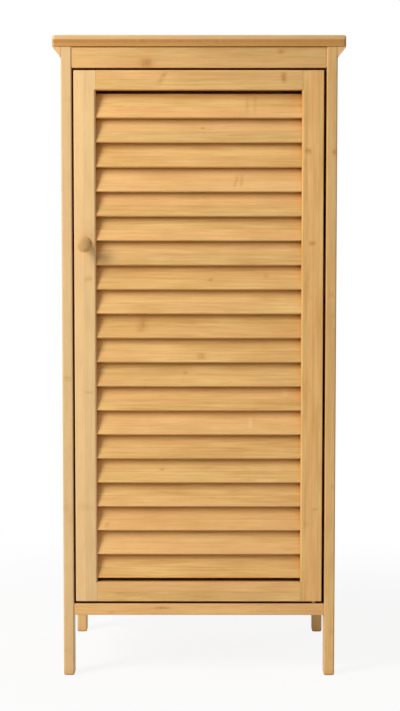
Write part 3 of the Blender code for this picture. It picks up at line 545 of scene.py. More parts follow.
def wood_colour(g, given, signs):
    """The strips' tints, with the pale look, the nodes and the cut ends over them."""
    rosy = g.between(g.total((signs["bands"], 0.7), (signs["strip"], 0.3)), *ROSE_RANGE)
    light = g.between(g.total((signs["streaks"], 0.6), (signs["clouds"], 0.4)), *STREAK_RANGE)
    colour = g.mix(light, HONEY, STRAW)
    colour = g.mix(g.times(rosy, ROSE_SHARE), colour, ROSE)
    colour = g.mix(given["Pale"], colour, PALE_WOOD)
    colour = g.mix(signs["nodes"], colour, NODE_BROWN)
    colour = g.mix(g.times(given["End"], END_GRAIN_SHARE), colour, END_BROWN)
    shade = wood_shade(g, given, signs)
    grey = g.node("CombineColor", shade, shade, shade).outputs[0]
    return g.mix(1.0, colour, grey, "MULTIPLY")


def wood_roughness(g, given, signs):
    """Rougher at the nodes and on the cut ends."""
    rough = g.spread(signs["streaks"], *WOOD_ROUGHNESS)
    rough = g.plus(rough, g.times(signs["nodes"], NODE_ROUGHNESS))
    return g.plus(rough, g.times(given["End"], END_ROUGHNESS))


def bamboo_group():
    """Laminated bamboo. Place runs along the grain, across the strips and through the layers."""
    group = bpy.data.node_groups.new("bamboo_wood", "ShaderNodeTree")
    sockets = (
        ("INPUT", "Vector", ("Place",)),
        ("INPUT", "Float", ("Seed", "Strip", "Layer", "Nodes", "End", "Tone", "Pale")),
        ("OUTPUT", "Color", ("Color",)),
        ("OUTPUT", "Float", ("Roughness", "Height")),
    )
    for in_out, kind, names in sockets:
        for name in names:
            group.interface.new_socket(name, in_out=in_out, socket_type="NodeSocket" + kind)
    g = Graph(group)
    given = g.tree.nodes.new("NodeGroupInput").outputs
    result = g.tree.nodes.new("NodeGroupOutput").inputs
    signs = wood_signs(g, given)
    g.feed(result["Color"], wood_colour(g, given, signs))
    g.feed(result["Roughness"], wood_roughness(g, given, signs))
    heights = [(signs[name], weight) for name, weight in HEIGHT_PARTS.items()]
    g.feed(result["Height"], g.total(*heights))
    return group


BAMBOO = bamboo_group()


class Grain:
    """How a piece's grain lies: the directions along it, across its strips and through them."""

    def __init__(self, low, along, across):
        self.low = Vector(low)
        self.along = Vector(along).normalized()
        self.across = Vector(across).normalized()
        self.through = self.along.cross(self.across)

    def turn(self):
        return Matrix((self.along, self.across, self.through))

    def local(self, point):
        return self.turn() @ (Vector(point) - self.low)

    def place(self, g, coordinates):
        """The mapped coordinates, as the output of a node."""
        turn = self.turn()
        mapping = g.node("Mapping", coordinates, vector_type="POINT")
        mapping.inputs["Rotation"].default_value = turn.to_euler("XYZ")
        mapping.inputs["Location"].default_value = -(turn @ self.low)
        return mapping.outputs[0]


def new_material(name):
    """A material without nodes, and the graph that builds them."""
    material = bpy.data.materials.new(name)
    material.use_nodes = True
    material.node_tree.nodes.clear()
    return material, Graph(material.node_tree)


def end_share(g, normal, along):
    """1 on the faces that cut the grain, and 0 on those that run with it."""
    facing = g.node("VectorMath", normal, tuple(along), operation="DOT_PRODUCT").outputs["Value"]
    return g.between(g.maths("ABSOLUTE", facing), *END_GRAIN_RANGE)


def wood_look(g, grain, texture, seed, strip, nodes, tone, pale, end_strength=1.0):
    """Bamboo as the outputs of its group node, and the place in the grain that they are for."""
    place = grain.place(g, texture.outputs["Object"])
    end = g.times(end_share(g, texture.outputs["Normal"], grain.along), end_strength)
    node = g.node("Group", node_tree=BAMBOO)
    values = {"Place": place, "Seed": seed, "Strip": strip, "Layer": LAYER_DEPTH, "Nodes": nodes,
              "End": end, "Tone": tone, "Pale": pale}
    for name, value in values.items():
        g.feed(node.inputs[name], value)
    return node.outputs, place


def add_marks(g, colour, place, marks):
    """Soft blotches at chosen nodes, with finer lines in them that cross the grain."""
    parts = g.node("SeparateXYZ", place).outputs
    bend = g.spread(g.noise(place, BEND_WAVES), MARK_BEND, 0.0)
    along = g.plus(parts[0], bend)
    lines = g.between(g.noise(place, MARK_LINE_WAVES), *MARK_LINE_RANGE)
    lines = g.spread(lines, *MARK_LINE_SHADE)
    for centre, level, reach, half, lean, strength, tint in marks:
        across = g.minus(parts[1], level)
        away = g.maths("MULTIPLY_ADD", across, -lean, g.minus(along, centre))
        share = g.maths("DIVIDE", away, reach)
        rise = g.maths("DIVIDE", across, half)
        off = g.plus(g.times(share, share), g.maths("POWER", rise, MARK_SQUARENESS))
        mark = g.maths("EXPONENT", g.times(off, -1.0))
        mark = g.times(mark, g.times(lines, strength))
        colour = g.mix(mark, colour, tint)
    return colour


def add_painted_crevice_shade(g, colour):
    """Painted shade: browner wood where other faces are near, and a reddish dark deep in the gaps.
    """
    node = g.node("AmbientOcclusion", named={"Distance": PAINTED_SHADE_REACH}, samples=PAINTED_SHADE_SAMPLES)
    openness = node.outputs["AO"]
    painted_crevice_shade, painted_gap_shade = g.between(openness, *PAINTED_CREVICE_SHADE_RANGE), g.between(openness, *PAINTED_GAP_SHADE_RANGE)
    colour = g.mix(painted_crevice_shade, colour, g.mix(1.0, colour, PAINTED_CREVICE_SHADE_TINT, "MULTIPLY"))
    return g.mix(g.times(painted_gap_shade, PAINTED_GAP_SHADE_SHARE), colour, PAINTED_GAP_SHADE_BROWN)


def worn_edge(g):
    """1 on the arrises, where the lacquer has rubbed, and 0 on the flats."""
    rounded = g.node("Bevel", WORN_RADIUS, samples=WORN_SAMPLES).outputs[0]
    true = g.node("NewGeometry").outputs["Normal"]
    same = g.node("VectorMath", rounded, true, operation="DOT_PRODUCT").outputs["Value"]
    return g.between(same, *WORN_RANGE)


def add_core_ply(g, colour, rough, texture, seed, core):
    """Lays a middle ply over a board's colour and roughness, and tints the ply under it with its
    own tone and painted shade.
    """
    grain, low, high, lower_ply_tone_and_shade = core
    seed += CORE_SEED_STEP
    look, _ = wood_look(g, grain, texture, seed, NARROW_STRIP, nodes=0.0, tone=CORE_TONE, pale=0.0)
    level = g.node("SeparateXYZ", texture.outputs["Object"]).outputs[2]
    above = g.between(level, low - PLY_BLUR, low + PLY_BLUR)
    below = g.between(level, high + PLY_BLUR, high - PLY_BLUR)
    inside = g.times(above, below)
    # The ply under the core: darker and browner, partly its own tone and partly painted shade
    lower = g.mix(1.0, colour, tuple(lower_ply_tone_and_shade * part for part in LOWER_PLY_TONE_AND_SHADE_TINT), "MULTIPLY")
    colour = g.mix(below, colour, lower)
    colour = g.mix(inside, colour, g.mix(CORE_SHARE, look["Color"], END_BROWN))
    return colour, g.mix(inside, rough, look["Roughness"])


def faded_tone(g, grain, texture, tone, fade):
    """A tone that changes evenly along the grain over the given length: a painted falloff of the
    light.
    """
    first, last, length = fade
    along = g.node("SeparateXYZ", grain.place(g, texture.outputs["Object"])).outputs[0]
    return g.maths("MULTIPLY_ADD", along, tone * (last - first) / length, tone * first)


def finish_shader(g, colour, rough, height, bump, more=None):
    """The shader and its output. bump is its strength and depth, and more what is even all over."""
    strength, depth = bump
    normal = g.node("Bump", named={"Height": height, "Strength": strength, "Distance": depth})
    shader = g.node("BsdfPrincipled", named={
        "Base Color": colour, "Roughness": rough, "Normal": normal.outputs[0], **(more or {}),
    })
    g.node("OutputMaterial", shader.outputs[0])


def bamboo_material(name, grain, seed, strip=WIDE_STRIP, nodes=FULL_NODES, tone=1.0, pale=0.0,
                    marks=(), core=None, fade=None, end=1.0):
    """Bamboo for one piece.

    core is the grain and the levels of a middle ply, and how bright the ply under it is, which is
    partly its own tone and partly painted shade. fade is the tone at the start and at the
    end of the grain, and its length: a painted falloff of the light along the piece. end is how far
    the end grain darkens.
    """
    material, g = new_material(name)
    texture = g.node("TexCoord")
    # A painted falloff of the light along the grain
    if fade is not None:
        tone = faded_tone(g, grain, texture, tone, fade)
    look, place = wood_look(g, grain, texture, seed, strip, nodes, tone, pale, end)
    colour, rough = look["Color"], look["Roughness"]
    if core is not None:
        colour, rough = add_core_ply(g, colour, rough, texture, seed, core)
    if marks:
        colour = add_marks(g, colour, place, marks)
    edge = worn_edge(g)
    colour = g.mix(g.times(edge, WORN_SHARE), colour, WORN_WOOD)
    # Painted shade in the creases, and a painted reddish dark deep in the gaps
    colour = add_painted_crevice_shade(g, colour)
    rough = g.plus(rough, g.times(edge, WORN_ROUGHNESS))
    finish_shader(g, colour, rough, look["Height"], WOOD_BUMP,
                  {"Specular IOR Level": WOOD_SPECULAR})
    return material


def glue_material():
    """Dried wood glue, a little darker than the wood."""
    material, g = new_material("dried_glue")
    place = g.node("TexCoord").outputs["Object"]
    colour = g.mix(g.noise(place, GLUE_CLOUD_WAVES), DARK_GLUE, LIGHT_GLUE)
    grain = g.noise(place, GLUE_GRAIN_WAVES)
    finish_shader(g, colour, g.spread(grain, *GLUE_ROUGHNESS), grain, GLUE_BUMP)
    return material


def darker(colour, share):
    """A colour with its channels brought down to a share."""
    return tuple(share * channel for channel in colour[:3]) + (1.0,)


def metal_material(name, colour, rough):
    """Plated or bare metal with fine drawn lines and a few dull patches."""
    material, g = new_material(name)
    place = g.node("TexCoord").outputs["Object"]
    lines = g.noise(place, BRUSHED_WAVES)
    patches = g.between(g.noise(place, DULL_WAVES, 3.0), *DULL_RANGE)
    tint = g.mix(g.times(patches, DULL_SHARE), colour, darker(colour, DULL_TONE))
    rough = g.plus(g.spread(lines, BRUSHED_ROUGHNESS, rough), g.times(patches, DULL_ROUGHNESS))
    finish_shader(g, tint, rough, lines, BRUSHED_BUMP, {"Metallic": 1.0})
    return material


def moulded_material(name, colour, rough):
    """Moulded plastic or pressed ceramic with a fine matt grain."""
    material, g = new_material(name)
    place = g.node("TexCoord").outputs["Object"]
    grain = g.noise(place, MOULDED_GRAIN_WAVES)
    cloud = g.between(g.noise(place, MOULDED_CLOUD_WAVES), *MOULDED_RANGE)
    tint = g.mix(cloud, colour, darker(colour, MOULDED_TONE))
    finish_shader(g, tint, g.spread(grain, MOULDED_ROUGHNESS, rough), grain, MOULDED_BUMP)
    return material


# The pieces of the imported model


X, Y, Z = (1.0, 0.0, 0.0), (0.0, 1.0, 0.0), (0.0, 0.0, 1.0)
UP_THE_SLAT = (0.0, math.sin(SLAT_TILT), math.cos(SLAT_TILT))


def centre_of(node):
    low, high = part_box(node)
    return (low + high) / 2


def low_of(node):
    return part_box(node)[0]


def dress(node, material):
    """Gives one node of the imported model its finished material."""
    for material_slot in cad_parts[node].material_slots:
        material_slot.material = material


def soft_shading_group():
    """A modifier that joins the facets' corners and shades smoothly over the gentle edges."""
    group = bpy.data.node_groups.new("soft_shading", "GeometryNodeTree")
    for in_out in ("INPUT", "OUTPUT"):
        group.interface.new_socket("Geometry", in_out=in_out, socket_type="NodeSocketGeometry")
    nodes, links = group.nodes, group.links
    given = nodes.new("NodeGroupInput")
    result = nodes.new("NodeGroupOutput")
    merge = nodes.new("GeometryNodeMergeByDistance")
    merge.inputs["Distance"].default_value = TINY
    drop = nodes.new("GeometryNodeRemoveAttribute")
    drop.inputs["Name"].default_value = "custom_normal"
    smooth = nodes.new("GeometryNodeSetShadeSmooth")
    smooth.domain = "FACE"
    angle = nodes.new("GeometryNodeInputMeshEdgeAngle")
    steep = nodes.new("FunctionNodeCompare")
    steep.operation = "GREATER_THAN"
    steep.inputs[1].default_value = SHARP_ANGLE
    sharp = nodes.new("GeometryNodeSetShadeSmooth")
    sharp.domain = "EDGE"
    sharp.inputs["Shade Smooth"].default_value = False
    links.new(given.outputs[0], merge.inputs[0])
    links.new(merge.outputs[0], drop.inputs[0])
    links.new(drop.outputs[0], smooth.inputs["Geometry"])
    links.new(smooth.outputs[0], sharp.inputs["Geometry"])
    links.new(angle.outputs["Unsigned Angle"], steep.inputs[0])
    links.new(steep.outputs[0], sharp.inputs["Selection"])
    links.new(sharp.outputs[0], result.inputs[0])
    return group


def shade_softly(obj, group):
    modifier = obj.modifiers.new("soft_shading", "NODES")
    modifier.node_group = group
    weights = obj.modifiers.new("flat_faces_lead", "WEIGHTED_NORMAL")
    weights.keep_sharp = True
    weights.weight = 100


def marks_on(node, grain, lean=0.0):
    """The photographed nodes of a piece, along and across its grain. lean is its face's slope."""
    low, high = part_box(node)
    upright = abs(grain.along.z) > 0.5
    marks = []
    for share_x, share_z, half_x, half_z, slant, strength, *tint in PHOTO_MARKS.get(node, ()):
        rise = share_z * (high.z - low.z)
        point = (low.x + share_x * (high.x - low.x), low.y + math.tan(lean) * rise, low.z + rise)
        local = grain.local(point)
        reach, half = (half_z, half_x) if upright else (half_x, half_z)
        marks.append((local.x, local.y, reach * MARK_SPREAD * MM, half * MM, slant,
                      strength * MARK_SHARE, tint[0] if tint else NODE_BROWN))
    return marks


def dress_in_bamboo(node, along, across, seed, lean=0.0, tones=None, **look):
    """Gives a node bamboo, its marks, and tones at the grain's start and end as painted light
    falloff.
    """
    low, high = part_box(node)
    grain = Grain(low, along, across)
    if tones is not None:
        look["fade"] = (*tones, high.z - low.z if along is Z else high.x - low.x)
    marks = marks_on(node, grain, lean)
    dress(node, bamboo_material(f"bamboo_{node}", grain, seed, marks=marks, **look))


def dress_top_board():
    """The top board, whose plies show on its edges."""
    low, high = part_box("top_board")
    core_high = high.z - TOP_BOARD_FACE_PLY
    core = (Grain(low, Y, X), core_high - TOP_BOARD_CORE_PLY, core_high, LOWER_PLY_TONE_AND_SHADE)
    dress_in_bamboo("top_board", X, Y, SEEDS["top_board"], pale=TOP_BOARD_PALE, core=core,
                    tones=TOP_BOARD_TONES, end=TOP_BOARD_END)


def dress_uprights():
    """Posts and door stiles, with the grain upright."""
    for number, (node, (strip, pale, tones)) in enumerate(UPRIGHTS.items()):
        nodes = FEW_NODES if node in PHOTO_MARKS else HALF_NODES
        dress_in_bamboo(node, Z, X, SEEDS["uprights"] + number, strip=strip, nodes=nodes,
                        pale=pale, tones=tones)


def dress_front_rails():
    """The apron, the bottom rail and the door's rails, with the grain level."""
    for number, (node, tones) in enumerate(FRONT_RAILS.items()):
        dress_in_bamboo(node, X, Z, SEEDS["front_rails"] + number, strip=FRAME_STRIP, nodes=0.0,
                        pale=RAIL_PALE, tones=tones)


def dress_slats():
    """The slats, each a little different in tone."""
    for number in range(1, SLAT_COUNT + 1):
        tone = 1.0
        for size, step in SLAT_TONE_WAVES:
            tone += size * math.sin(number * step)
        pale = SLAT_PALE + SLAT_PALE * math.sin(number * SLAT_PALE_STEP)
        dress_in_bamboo(f"slat_{number:02d}", X, UP_THE_SLAT, SEEDS["slats"] + number, SLAT_TILT,
                        strip=SLAT_STRIP, nodes=SLAT_NODES, tone=tone, pale=pale, tones=SLAT_TONES)


def dress_boards():
    """Panels, shelves, cleats, side rails and the rails at the back."""
    sides = ("left", "right")
    levels = ("lower", "upper")
    rows = [(f"side_panel_{side}", Z, Y, WIDE_STRIP) for side in sides]
    rows += [("back_panel", Z, X, WIDE_STRIP), ("bottom_panel", X, Y, WIDE_STRIP)]
    rows += [(f"shelf_{level}", X, Y, WIDE_STRIP) for level in levels]
    rows += [(f"shelf_{level}_cleat_{side}", Y, Z, NARROW_STRIP)
             for level in levels for side in sides]
    rows += [(f"side_rail_{level}_{side}", Y, Z, FRAME_STRIP)
             for level in levels for side in sides]
    rows += [(f"back_{level}_rail", X, Z, FRAME_STRIP) for level in ("top", "bottom")]
    size, step = BOARD_TONE_WAVE
    for number, (node, along, across, strip) in enumerate(rows):
        tone = 1.0 + size * math.sin(number * step)
        dress_in_bamboo(node, along, across, SEEDS["boards"] + number, strip=strip, tone=tone)


def dress_mouldings():
    """The mouldings under the top board's overhang, with the grain from front to back."""
    for side, (pale, tone) in MOULDING_LOOKS.items():
        dress_in_bamboo(f"side_moulding_{side}", Y, Z, SEEDS["mouldings"], strip=FRAME_STRIP,
                        tone=tone, pale=pale, end=MOULDING_END)


# Pieces made here


def ring_points(radius, count):
    """Points round a ring, where radius is a number or says how far out each angle lies."""
    points = []
    for step in range(count):
        angle = 2 * math.pi * step / count
        out = radius(angle) if callable(radius) else radius
        points.append((out * math.cos(angle), out * math.sin(angle)))
    return points


def cross(arm, half_width):
    """The outline of a cross recess."""

    def radius(angle):
        quarter = math.pi / 2
        off = angle % quarter
        off = min(off, quarter - off)
        if math.tan(off) * arm < half_width:
            return arm / math.cos(off)
        return half_width / math.sin(off)

    return radius


def turned_mesh(bm, rings, place, count):
    """Adds a closed form made of rings, each a height and a radius, from its first to its last."""
    loops = []
    for height, radius in rings:
        loop = [bm.verts.new(place @ Vector((x, y, height))) for x, y in ring_points(radius, count)]
        loops.append(loop)
    for lower, upper in zip(loops, loops[1:]):
        for step in range(count):
            after = (step + 1) % count
            bm.faces.new((lower[step], lower[after], upper[after], upper[step]))
    for loop, height, flip in ((loops[0], rings[0][0], True), (loops[-1], rings[-1][0], False)):
        middle = bm.verts.new(place @ Vector((0.0, 0.0, height)))
        for step in range(count):
            after = (step + 1) % count
            face = (loop[step], loop[after], middle)
            bm.faces.new(tuple(reversed(face)) if flip else face)


def finish_piece(name, bm, material, body):
    """Makes a piece of the mesh, shaded smooth but for its sharp edges, riding on a body."""
    bmesh.ops.recalc_face_normals(bm, faces=bm.faces)
    for face in bm.faces:
        face.smooth = True
    for edge in bm.edges:
        if len(edge.link_faces) == 2 and edge.calc_face_angle() > OWN_SHARP_ANGLE:
            edge.smooth = False
    mesh = bpy.data.meshes.new(name)
    bm.to_mesh(mesh)
    bm.free()
    mesh.materials.append(material)
    obj = bpy.data.objects.new(name, mesh)
    bpy.context.scene.collection.objects.link(obj)
    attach(obj, body)
    return obj


def facing(point, direction):
    """A place whose Z axis points out of a surface in that direction."""
    turn = Vector(direction).to_track_quat("Z", "Y").to_matrix().to_4x4()
    return Matrix.Translation(point) @ turn


def head_rings(radius, height, recess, depth):
    """The rings of a low domed head with a recess, from under its flange to the recess's floor."""
    rings = [(0.0, radius * HEAD_UNDERSIDE), (height * HEAD_FLANGE, radius)]
    for step in range(1, HEAD_STEPS + 1):
        angle = step / HEAD_STEPS * math.pi / 2
        lift = height * (HEAD_FLANGE + (1 - HEAD_FLANGE) * math.sin(angle))
        rings.append((lift, radius * (HEAD_CROWN + (1 - HEAD_CROWN) * math.cos(angle))))
    rings.append((height, lambda angle: recess(angle) * RECESS_LIP))
    rings.append((height - depth * RECESS_LIP_DEPTH, recess))
    rings.append((height - depth, lambda angle: recess(angle) * RECESS_FLOOR))
    return rings


def make_screws(name, places, material, body, head=SCREW_HEAD):
    """Pan heads with a cross recess at several places. head is their radius and height."""
    radius, height = head
    bm = bmesh.new()
    recess = cross(radius * RECESS_ARM, radius * RECESS_HALF_WIDTH)
    for place in places:
        turned_mesh(bm, head_rings(radius, height, recess, RECESS_DEPTH), place, HEAD_POINTS * 2)
    finish_piece(name, bm, material, body)


def make_plugs(material):
    """Wooden plugs over the bolts that run through the posts into the ends of the level rails."""
    rings = [(PLUG_HEIGHT * rise, PLUG_RADIUS - PLUG_HEIGHT * inset)
             for rise, inset in PLUG_PROFILE]
    for side, sign in (("left", -1), ("right", 1)):
        bm = bmesh.new()
        moulding_low = low_of(f"side_moulding_{side}").z
        top = moulding_low - PLUG_RADIUS - PLUG_BELOW_MOULDING
        for post, lower in (("front", "front_bottom_rail"), ("rear", "back_bottom_rail")):
            low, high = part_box(f"post_{post}_{side}")
            outer = high.x if sign > 0 else low.x
            for level in (centre_of(lower).z, top):
                place = facing((outer, (low.y + high.y) / 2, level), (sign, 0, 0))
                turned_mesh(bm, rings, place, HEAD_POINTS)
        finish_piece(f"wooden_plugs_{side}", bm, material, "carcass")


def add_glue(bm, start, end, thin, inward, flare=0.0, shift=0.0, lead=0.0):
    """A strip of glue along a joint, a little hollow where it dried.

    In a groove it starts wider by flare, moved by shift, and narrows to the joint over lead.
    """
    start, end = Vector(start), Vector(end)
    thin, inward = Vector(thin), Vector(inward)
    half = JOINT_GAP / 2 - GLUE_EASE
    wide = half + flare
    section = (
        thin * (shift - wide), thin * shift + inward * GLUE_DEPTH / 2, thin * (shift + wide),
        thin * half + inward * (lead + TINY), thin * half + inward * (lead + GLUE_REACH),
        -thin * half + inward * (lead + GLUE_REACH), -thin * half + inward * (lead + TINY),
    )
    loops = [[bm.verts.new(place + offset) for offset in section] for place in (start, end)]
    for step in range(len(section)):
        after = (step + 1) % len(section)
        bm.faces.new((loops[0][step], loops[0][after], loops[1][after], loops[1][step]))
    bm.faces.new(loops[0])
    bm.faces.new(list(reversed(loops[1])))


def make_door_glue(material):
    """Glue between the door's stiles and rails, in front and behind."""
    bm = bmesh.new()
    for side, sign in (("left", 1), ("right", -1)):
        low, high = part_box(f"door_stile_{side}")
        x = (high.x if sign > 0 else low.x) + sign * JOINT_GAP / 2
        for rail in ("door_rail_top", "door_rail_bottom"):
            rail_low, rail_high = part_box(rail)
            bottom, top = rail_low.z + EASED_EDGE, rail_high.z - EASED_EDGE
            for y, inward in ((low.y + GLUE_DEPTH, Y), (high.y - GLUE_DEPTH, -Vector(Y))):
                add_glue(bm, (x, y, bottom), (x, y, top), X, inward)
    finish_piece("glue_lines_door", bm, material, "door")


def make_carcass_glue(material):
    """Glue between the posts, the rails between them and the mouldings."""
    bm = bmesh.new()
    for side, sign in (("left", -1), ("right", 1)):
        low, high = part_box(f"post_front_{side}")
        back_low, back_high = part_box(f"post_rear_{side}")
        inner, outer = (high.x, low.x) if sign < 0 else (low.x, high.x)
        x = inner - sign * JOINT_GAP / 2
        for rail in ("front_apron", "front_bottom_rail"):
            rail_low, rail_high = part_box(rail)
            y = rail_low.y + GROOVE_DEPTH
            add_glue(bm, (x, y, rail_low.z + EASED_EDGE), (x, y, rail_high.z), X, Y,
                     flare=GROOVE_FLARE, lead=GROOVE_LEAD)
        for rail in ("back_top_rail", "back_bottom_rail"):
            rail_low, rail_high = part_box(rail)
            y = rail_high.y - GROOVE_DEPTH
            add_glue(bm, (x, y, rail_low.z), (x, y, rail_high.z), X, -Vector(Y))
        inward = (-sign, 0, 0)
        for level in ("lower", "upper"):
            rail_low, rail_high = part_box(f"side_rail_{level}_{side}")
            x = (rail_high.x if sign > 0 else rail_low.x) - sign * GROOVE_DEPTH
            for y in (high.y + JOINT_GAP / 2, back_low.y - JOINT_GAP / 2):
                top = min(rail_high.z, low_of(f"side_moulding_{side}").z)
                add_glue(bm, (x, y, rail_low.z), (x, y, top), Y, inward)
        trim_low, trim_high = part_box(f"side_moulding_{side}")
        x = outer + sign * JOINT_GAP / 2
        y = low.y + GROOVE_DEPTH
        add_glue(bm, (x, y, trim_low.z), (x, y, trim_high.z), X, Y,
                 flare=TRIM_FLARE, shift=-sign * (TRIM_FLARE + GLUE_DEPTH / 4), lead=TRIM_LEAD)
        far = trim_high.x if sign > 0 else trim_low.x
        z = trim_high.z + JOINT_GAP / 2
        y = trim_low.y + GLUE_DEPTH
        add_glue(bm, (outer, y, z), (far - sign * GLUE_DEPTH, y, z), Z, Y)
        x = far - sign * GLUE_DEPTH
        add_glue(bm, (x, y + GLUE_REACH, z), (x, trim_high.y - GLUE_DEPTH, z), Z, inward)
    finish_piece("glue_lines_carcass", bm, material, "carcass")


def make_cleat_screws(material):
    """Three screws through each cleat into the side panel."""
    for level in ("lower", "upper"):
        for side, sign in (("left", -1), ("right", 1)):
            node = f"shelf_{level}_cleat_{side}"
            low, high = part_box(node)
            inner = low.x if sign > 0 else high.x
            middle = centre_of(node)
            reach = (high.y - low.y) * CLEAT_SCREW_REACH
            places = [facing((inner, middle.y + shift, middle.z), (-sign, 0, 0))
                      for shift in (-reach, 0.0, reach)]
            make_screws(f"{node}_screws", places, material, "carcass")


def make_catch_screws(material):
    """Two screws through the strike plate, and two through the catch into the apron."""
    catch_level = (low_of("front_apron").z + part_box("catch_case")[1].z) / 2
    rows = (
        ("strike_plate", "door", STRIKE_SCREW_REACH, centre_of("strike_plate").z),
        ("catch_case", "carcass", CATCH_SCREW_REACH, catch_level),
    )
    for node, body, share, level in rows:
        low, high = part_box(node)
        middle = centre_of(node).x
        reach = (high.x - low.x) * share
        places = [facing((middle + shift, high.y, level), Y) for shift in (-reach, reach)]
        make_screws(f"{node}_screws", places, material, body, SMALL_SCREW_HEAD)


def knob_rings(head, length):
    """The rings of the knob from its foot to its face, for a head's radius and a length."""
    neck = head * KNOB_NECK
    foot = head * KNOB_FOOT
    face_dome = length * KNOB_FACE_DOME
    back_dome = length * KNOB_BACK_DOME
    widest = length - face_dome
    neck_angle = math.acos(neck / head)
    neck_height = widest - back_dome * math.sin(neck_angle)
    rings = [(0.0, foot)]
    for step in range(1, KNOB_STEPS):
        share = step / KNOB_STEPS
        rings.append((neck_height * share, neck + (foot - neck) * (1 - share) ** 2))
    for step in range(KNOB_STEPS):
        angle = neck_angle * (1 - step / KNOB_STEPS)
        rings.append((widest - back_dome * math.sin(angle), head * math.cos(angle)))
    for step in range(KNOB_STEPS * 2):
        angle = step / (KNOB_STEPS * 2) * math.pi / 2
        rings.append((widest + face_dome * math.sin(angle), head * math.cos(angle)))
    return rings


def make_knob():
    """The turned knob: a flared foot, a neck and a low domed head, finer than its solid."""
    low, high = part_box("knob")
    middle = centre_of("knob")
    place = facing((middle.x, high.y, middle.z), (0, -1, 0))
    bm = bmesh.new()
    turned_mesh(bm, knob_rings((high.x - low.x) / 2, high.y - low.y), place, KNOB_POINTS)
    material = bamboo_material("bamboo_knob", Grain(low, Y, X), SEEDS["knob"], NARROW_STRIP,
                               nodes=0.0, tone=KNOB_TONE, pale=KNOB_PALE, end=KNOB_END)
    piece = finish_piece("knob_turned", bm, material, "door")
    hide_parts("knob")


# The room


def make_camera():
    """The camera, from its place and its three angles."""
    pitch = math.radians(CAMERA_PITCH_DOWN)
    yaw = math.radians(CAMERA_YAW_RIGHT)
    roll = math.radians(CAMERA_ROLL)
    forward = Vector((math.sin(yaw) * math.cos(pitch), math.cos(yaw) * math.cos(pitch),
                      -math.sin(pitch)))
    level = Vector((math.cos(yaw), -math.sin(yaw), 0.0))
    upright = level.cross(forward)
    right = math.cos(roll) * level + math.sin(roll) * upright
    up = -math.sin(roll) * level + math.cos(roll) * upright
    data = bpy.data.cameras.new("camera")
    data.sensor_fit = "AUTO"
    data.sensor_width = SENSOR_LONG_SIDE
    data.lens = CAMERA_LENS
    camera = bpy.data.objects.new("camera", data)
    turn = Matrix((right, up, -forward)).transposed().to_4x4()
    camera.matrix_world = Matrix.Translation(CAMERA_PLACE) @ turn
    bpy.context.scene.collection.objects.link(camera)
    bpy.context.scene.camera = camera


def make_lamp(name, azimuth, elevation, distance, size, power):
    """A soft lamp, turned to the cabinet. Its azimuth counts from the front to the left."""
    azimuth, elevation = math.radians(azimuth), math.radians(elevation)
    level = math.cos(elevation)
    out = Vector((-math.sin(azimuth) * level, -math.cos(azimuth) * level, math.sin(elevation)))
    data = bpy.data.lights.new(name, "AREA")
    data.shape = "RECTANGLE"
    data.size, data.size_y = size
    data.energy = power
    lamp = bpy.data.objects.new(name, data)
    lamp.location = Vector(AIM) + out * distance
    lamp.rotation_mode = "QUATERNION"
    lamp.rotation_quaternion = (-out).to_track_quat("-Z", "Y")
    bpy.context.scene.collection.objects.link(lamp)


def seen_directly(g):
    """1 for what the camera, a reflection or clear material sees, and 0 for the light."""
    path = g.node("LightPath").outputs
    seen = g.maths("MAXIMUM", path["Is Camera Ray"], path["Is Glossy Ray"])
    return g.maths("MAXIMUM", seen, path["Is Transmission Ray"])


def make_world():
    """A white room, which lights the cabinet only weakly."""
    world = bpy.data.worlds.new("room")
    bpy.context.scene.world = world
    world.use_nodes = True
    world.node_tree.nodes.clear()
    g = Graph(world.node_tree)
    light = g.node("Background", WHITE, ROOM_LIGHT)
    white = g.node("Background", WHITE, 1.0)
    shader = g.node("MixShader", seen_directly(g), light.outputs[0], white.outputs[0])
    g.node("OutputWorld", shader.outputs[0])


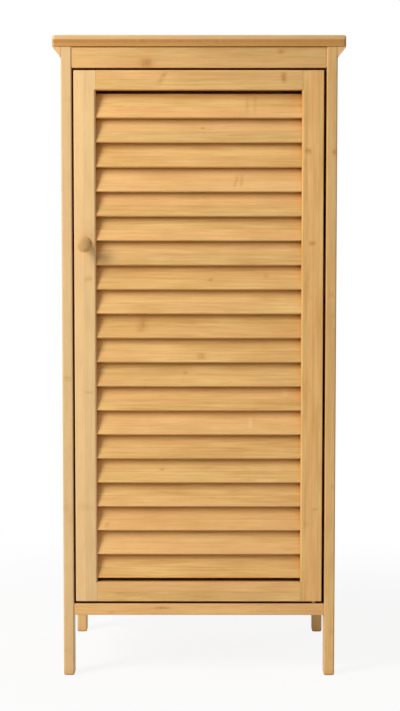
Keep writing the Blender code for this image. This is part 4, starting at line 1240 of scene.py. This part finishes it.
def floor_material():
    """A pale floor that shows white to the camera but for the shadow close to the cabinet."""
    material, g = new_material("pale_floor")
    place = g.node("TexCoord").outputs["Object"]
    matt = g.node("BsdfDiffuse", g.mix(g.noise(place, FLOOR_WAVES), DARK_FLOOR, LIGHT_FLOOR))
    white = g.node("Emission", WHITE, 1.0)
    away = g.node("VectorMath", place, operation="LENGTH").outputs["Value"]
    near = g.between(away, FLOOR_SHADE_RADIUS, FLOOR_SHADE_RADIUS * FLOOR_SHADE_CORE)
    lit = g.times(near, FLOOR_LIT_SHARE)
    hidden = g.times(seen_directly(g), g.minus(1.0, lit))
    shader = g.node("MixShader", hidden, matt.outputs[0], white.outputs[0])
    g.node("OutputMaterial", shader.outputs[0])
    return material


def make_floor():
    bm = bmesh.new()
    bmesh.ops.create_circle(bm, cap_ends=True, radius=FLOOR_RADIUS, segments=FLOOR_POINTS)
    mesh = bpy.data.meshes.new("floor")
    bm.to_mesh(mesh)
    bm.free()
    mesh.materials.append(floor_material())
    floor = bpy.data.objects.new("floor", mesh)
    bpy.context.scene.collection.objects.link(floor)


def dress_hardware(steel):
    """Screw, strike plate, pins, bushes and catch."""
    brass = metal_material("brass", *BRASS)
    dark_steel = metal_material("oiled_steel", *OILED_STEEL)
    for node in ("knob_screw", "strike_plate"):
        dress(node, steel)
    dress("hinge_pin_top", dark_steel)
    dress("hinge_pin_bottom", metal_material("yellow_zinc", *YELLOW_ZINC))
    for node in ("hinge_bush_bottom", "hinge_bush_top"):
        dress(node, brass)
    dress("catch_case", moulded_material("brown_plastic", *BROWN_PLASTIC))
    dress("catch_magnet", moulded_material("dark_magnet", *DARK_MAGNET))


def main():
    shading = soft_shading_group()
    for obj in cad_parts.values():
        shade_softly(obj, shading)
    dress_top_board()
    dress_uprights()
    dress_front_rails()
    dress_slats()
    dress_boards()
    dress_mouldings()
    steel = metal_material("zinc_steel", *ZINC)
    dress_hardware(steel)
    make_knob()
    make_plugs(bamboo_material("bamboo_plugs", Grain((0, 0, 0), Z, Y), SEEDS["plugs"],
                               NARROW_STRIP, tone=PLUG_TONE))
    glue = glue_material()
    make_door_glue(glue)
    make_carcass_glue(glue)
    make_cleat_screws(steel)
    make_catch_screws(steel)
    make_floor()
    make_world()
    for name, lamp in LAMPS.items():
        make_lamp(name, *lamp)
    make_camera()


main()
bpy.context.scene.view_settings.view_transform = "Standard"
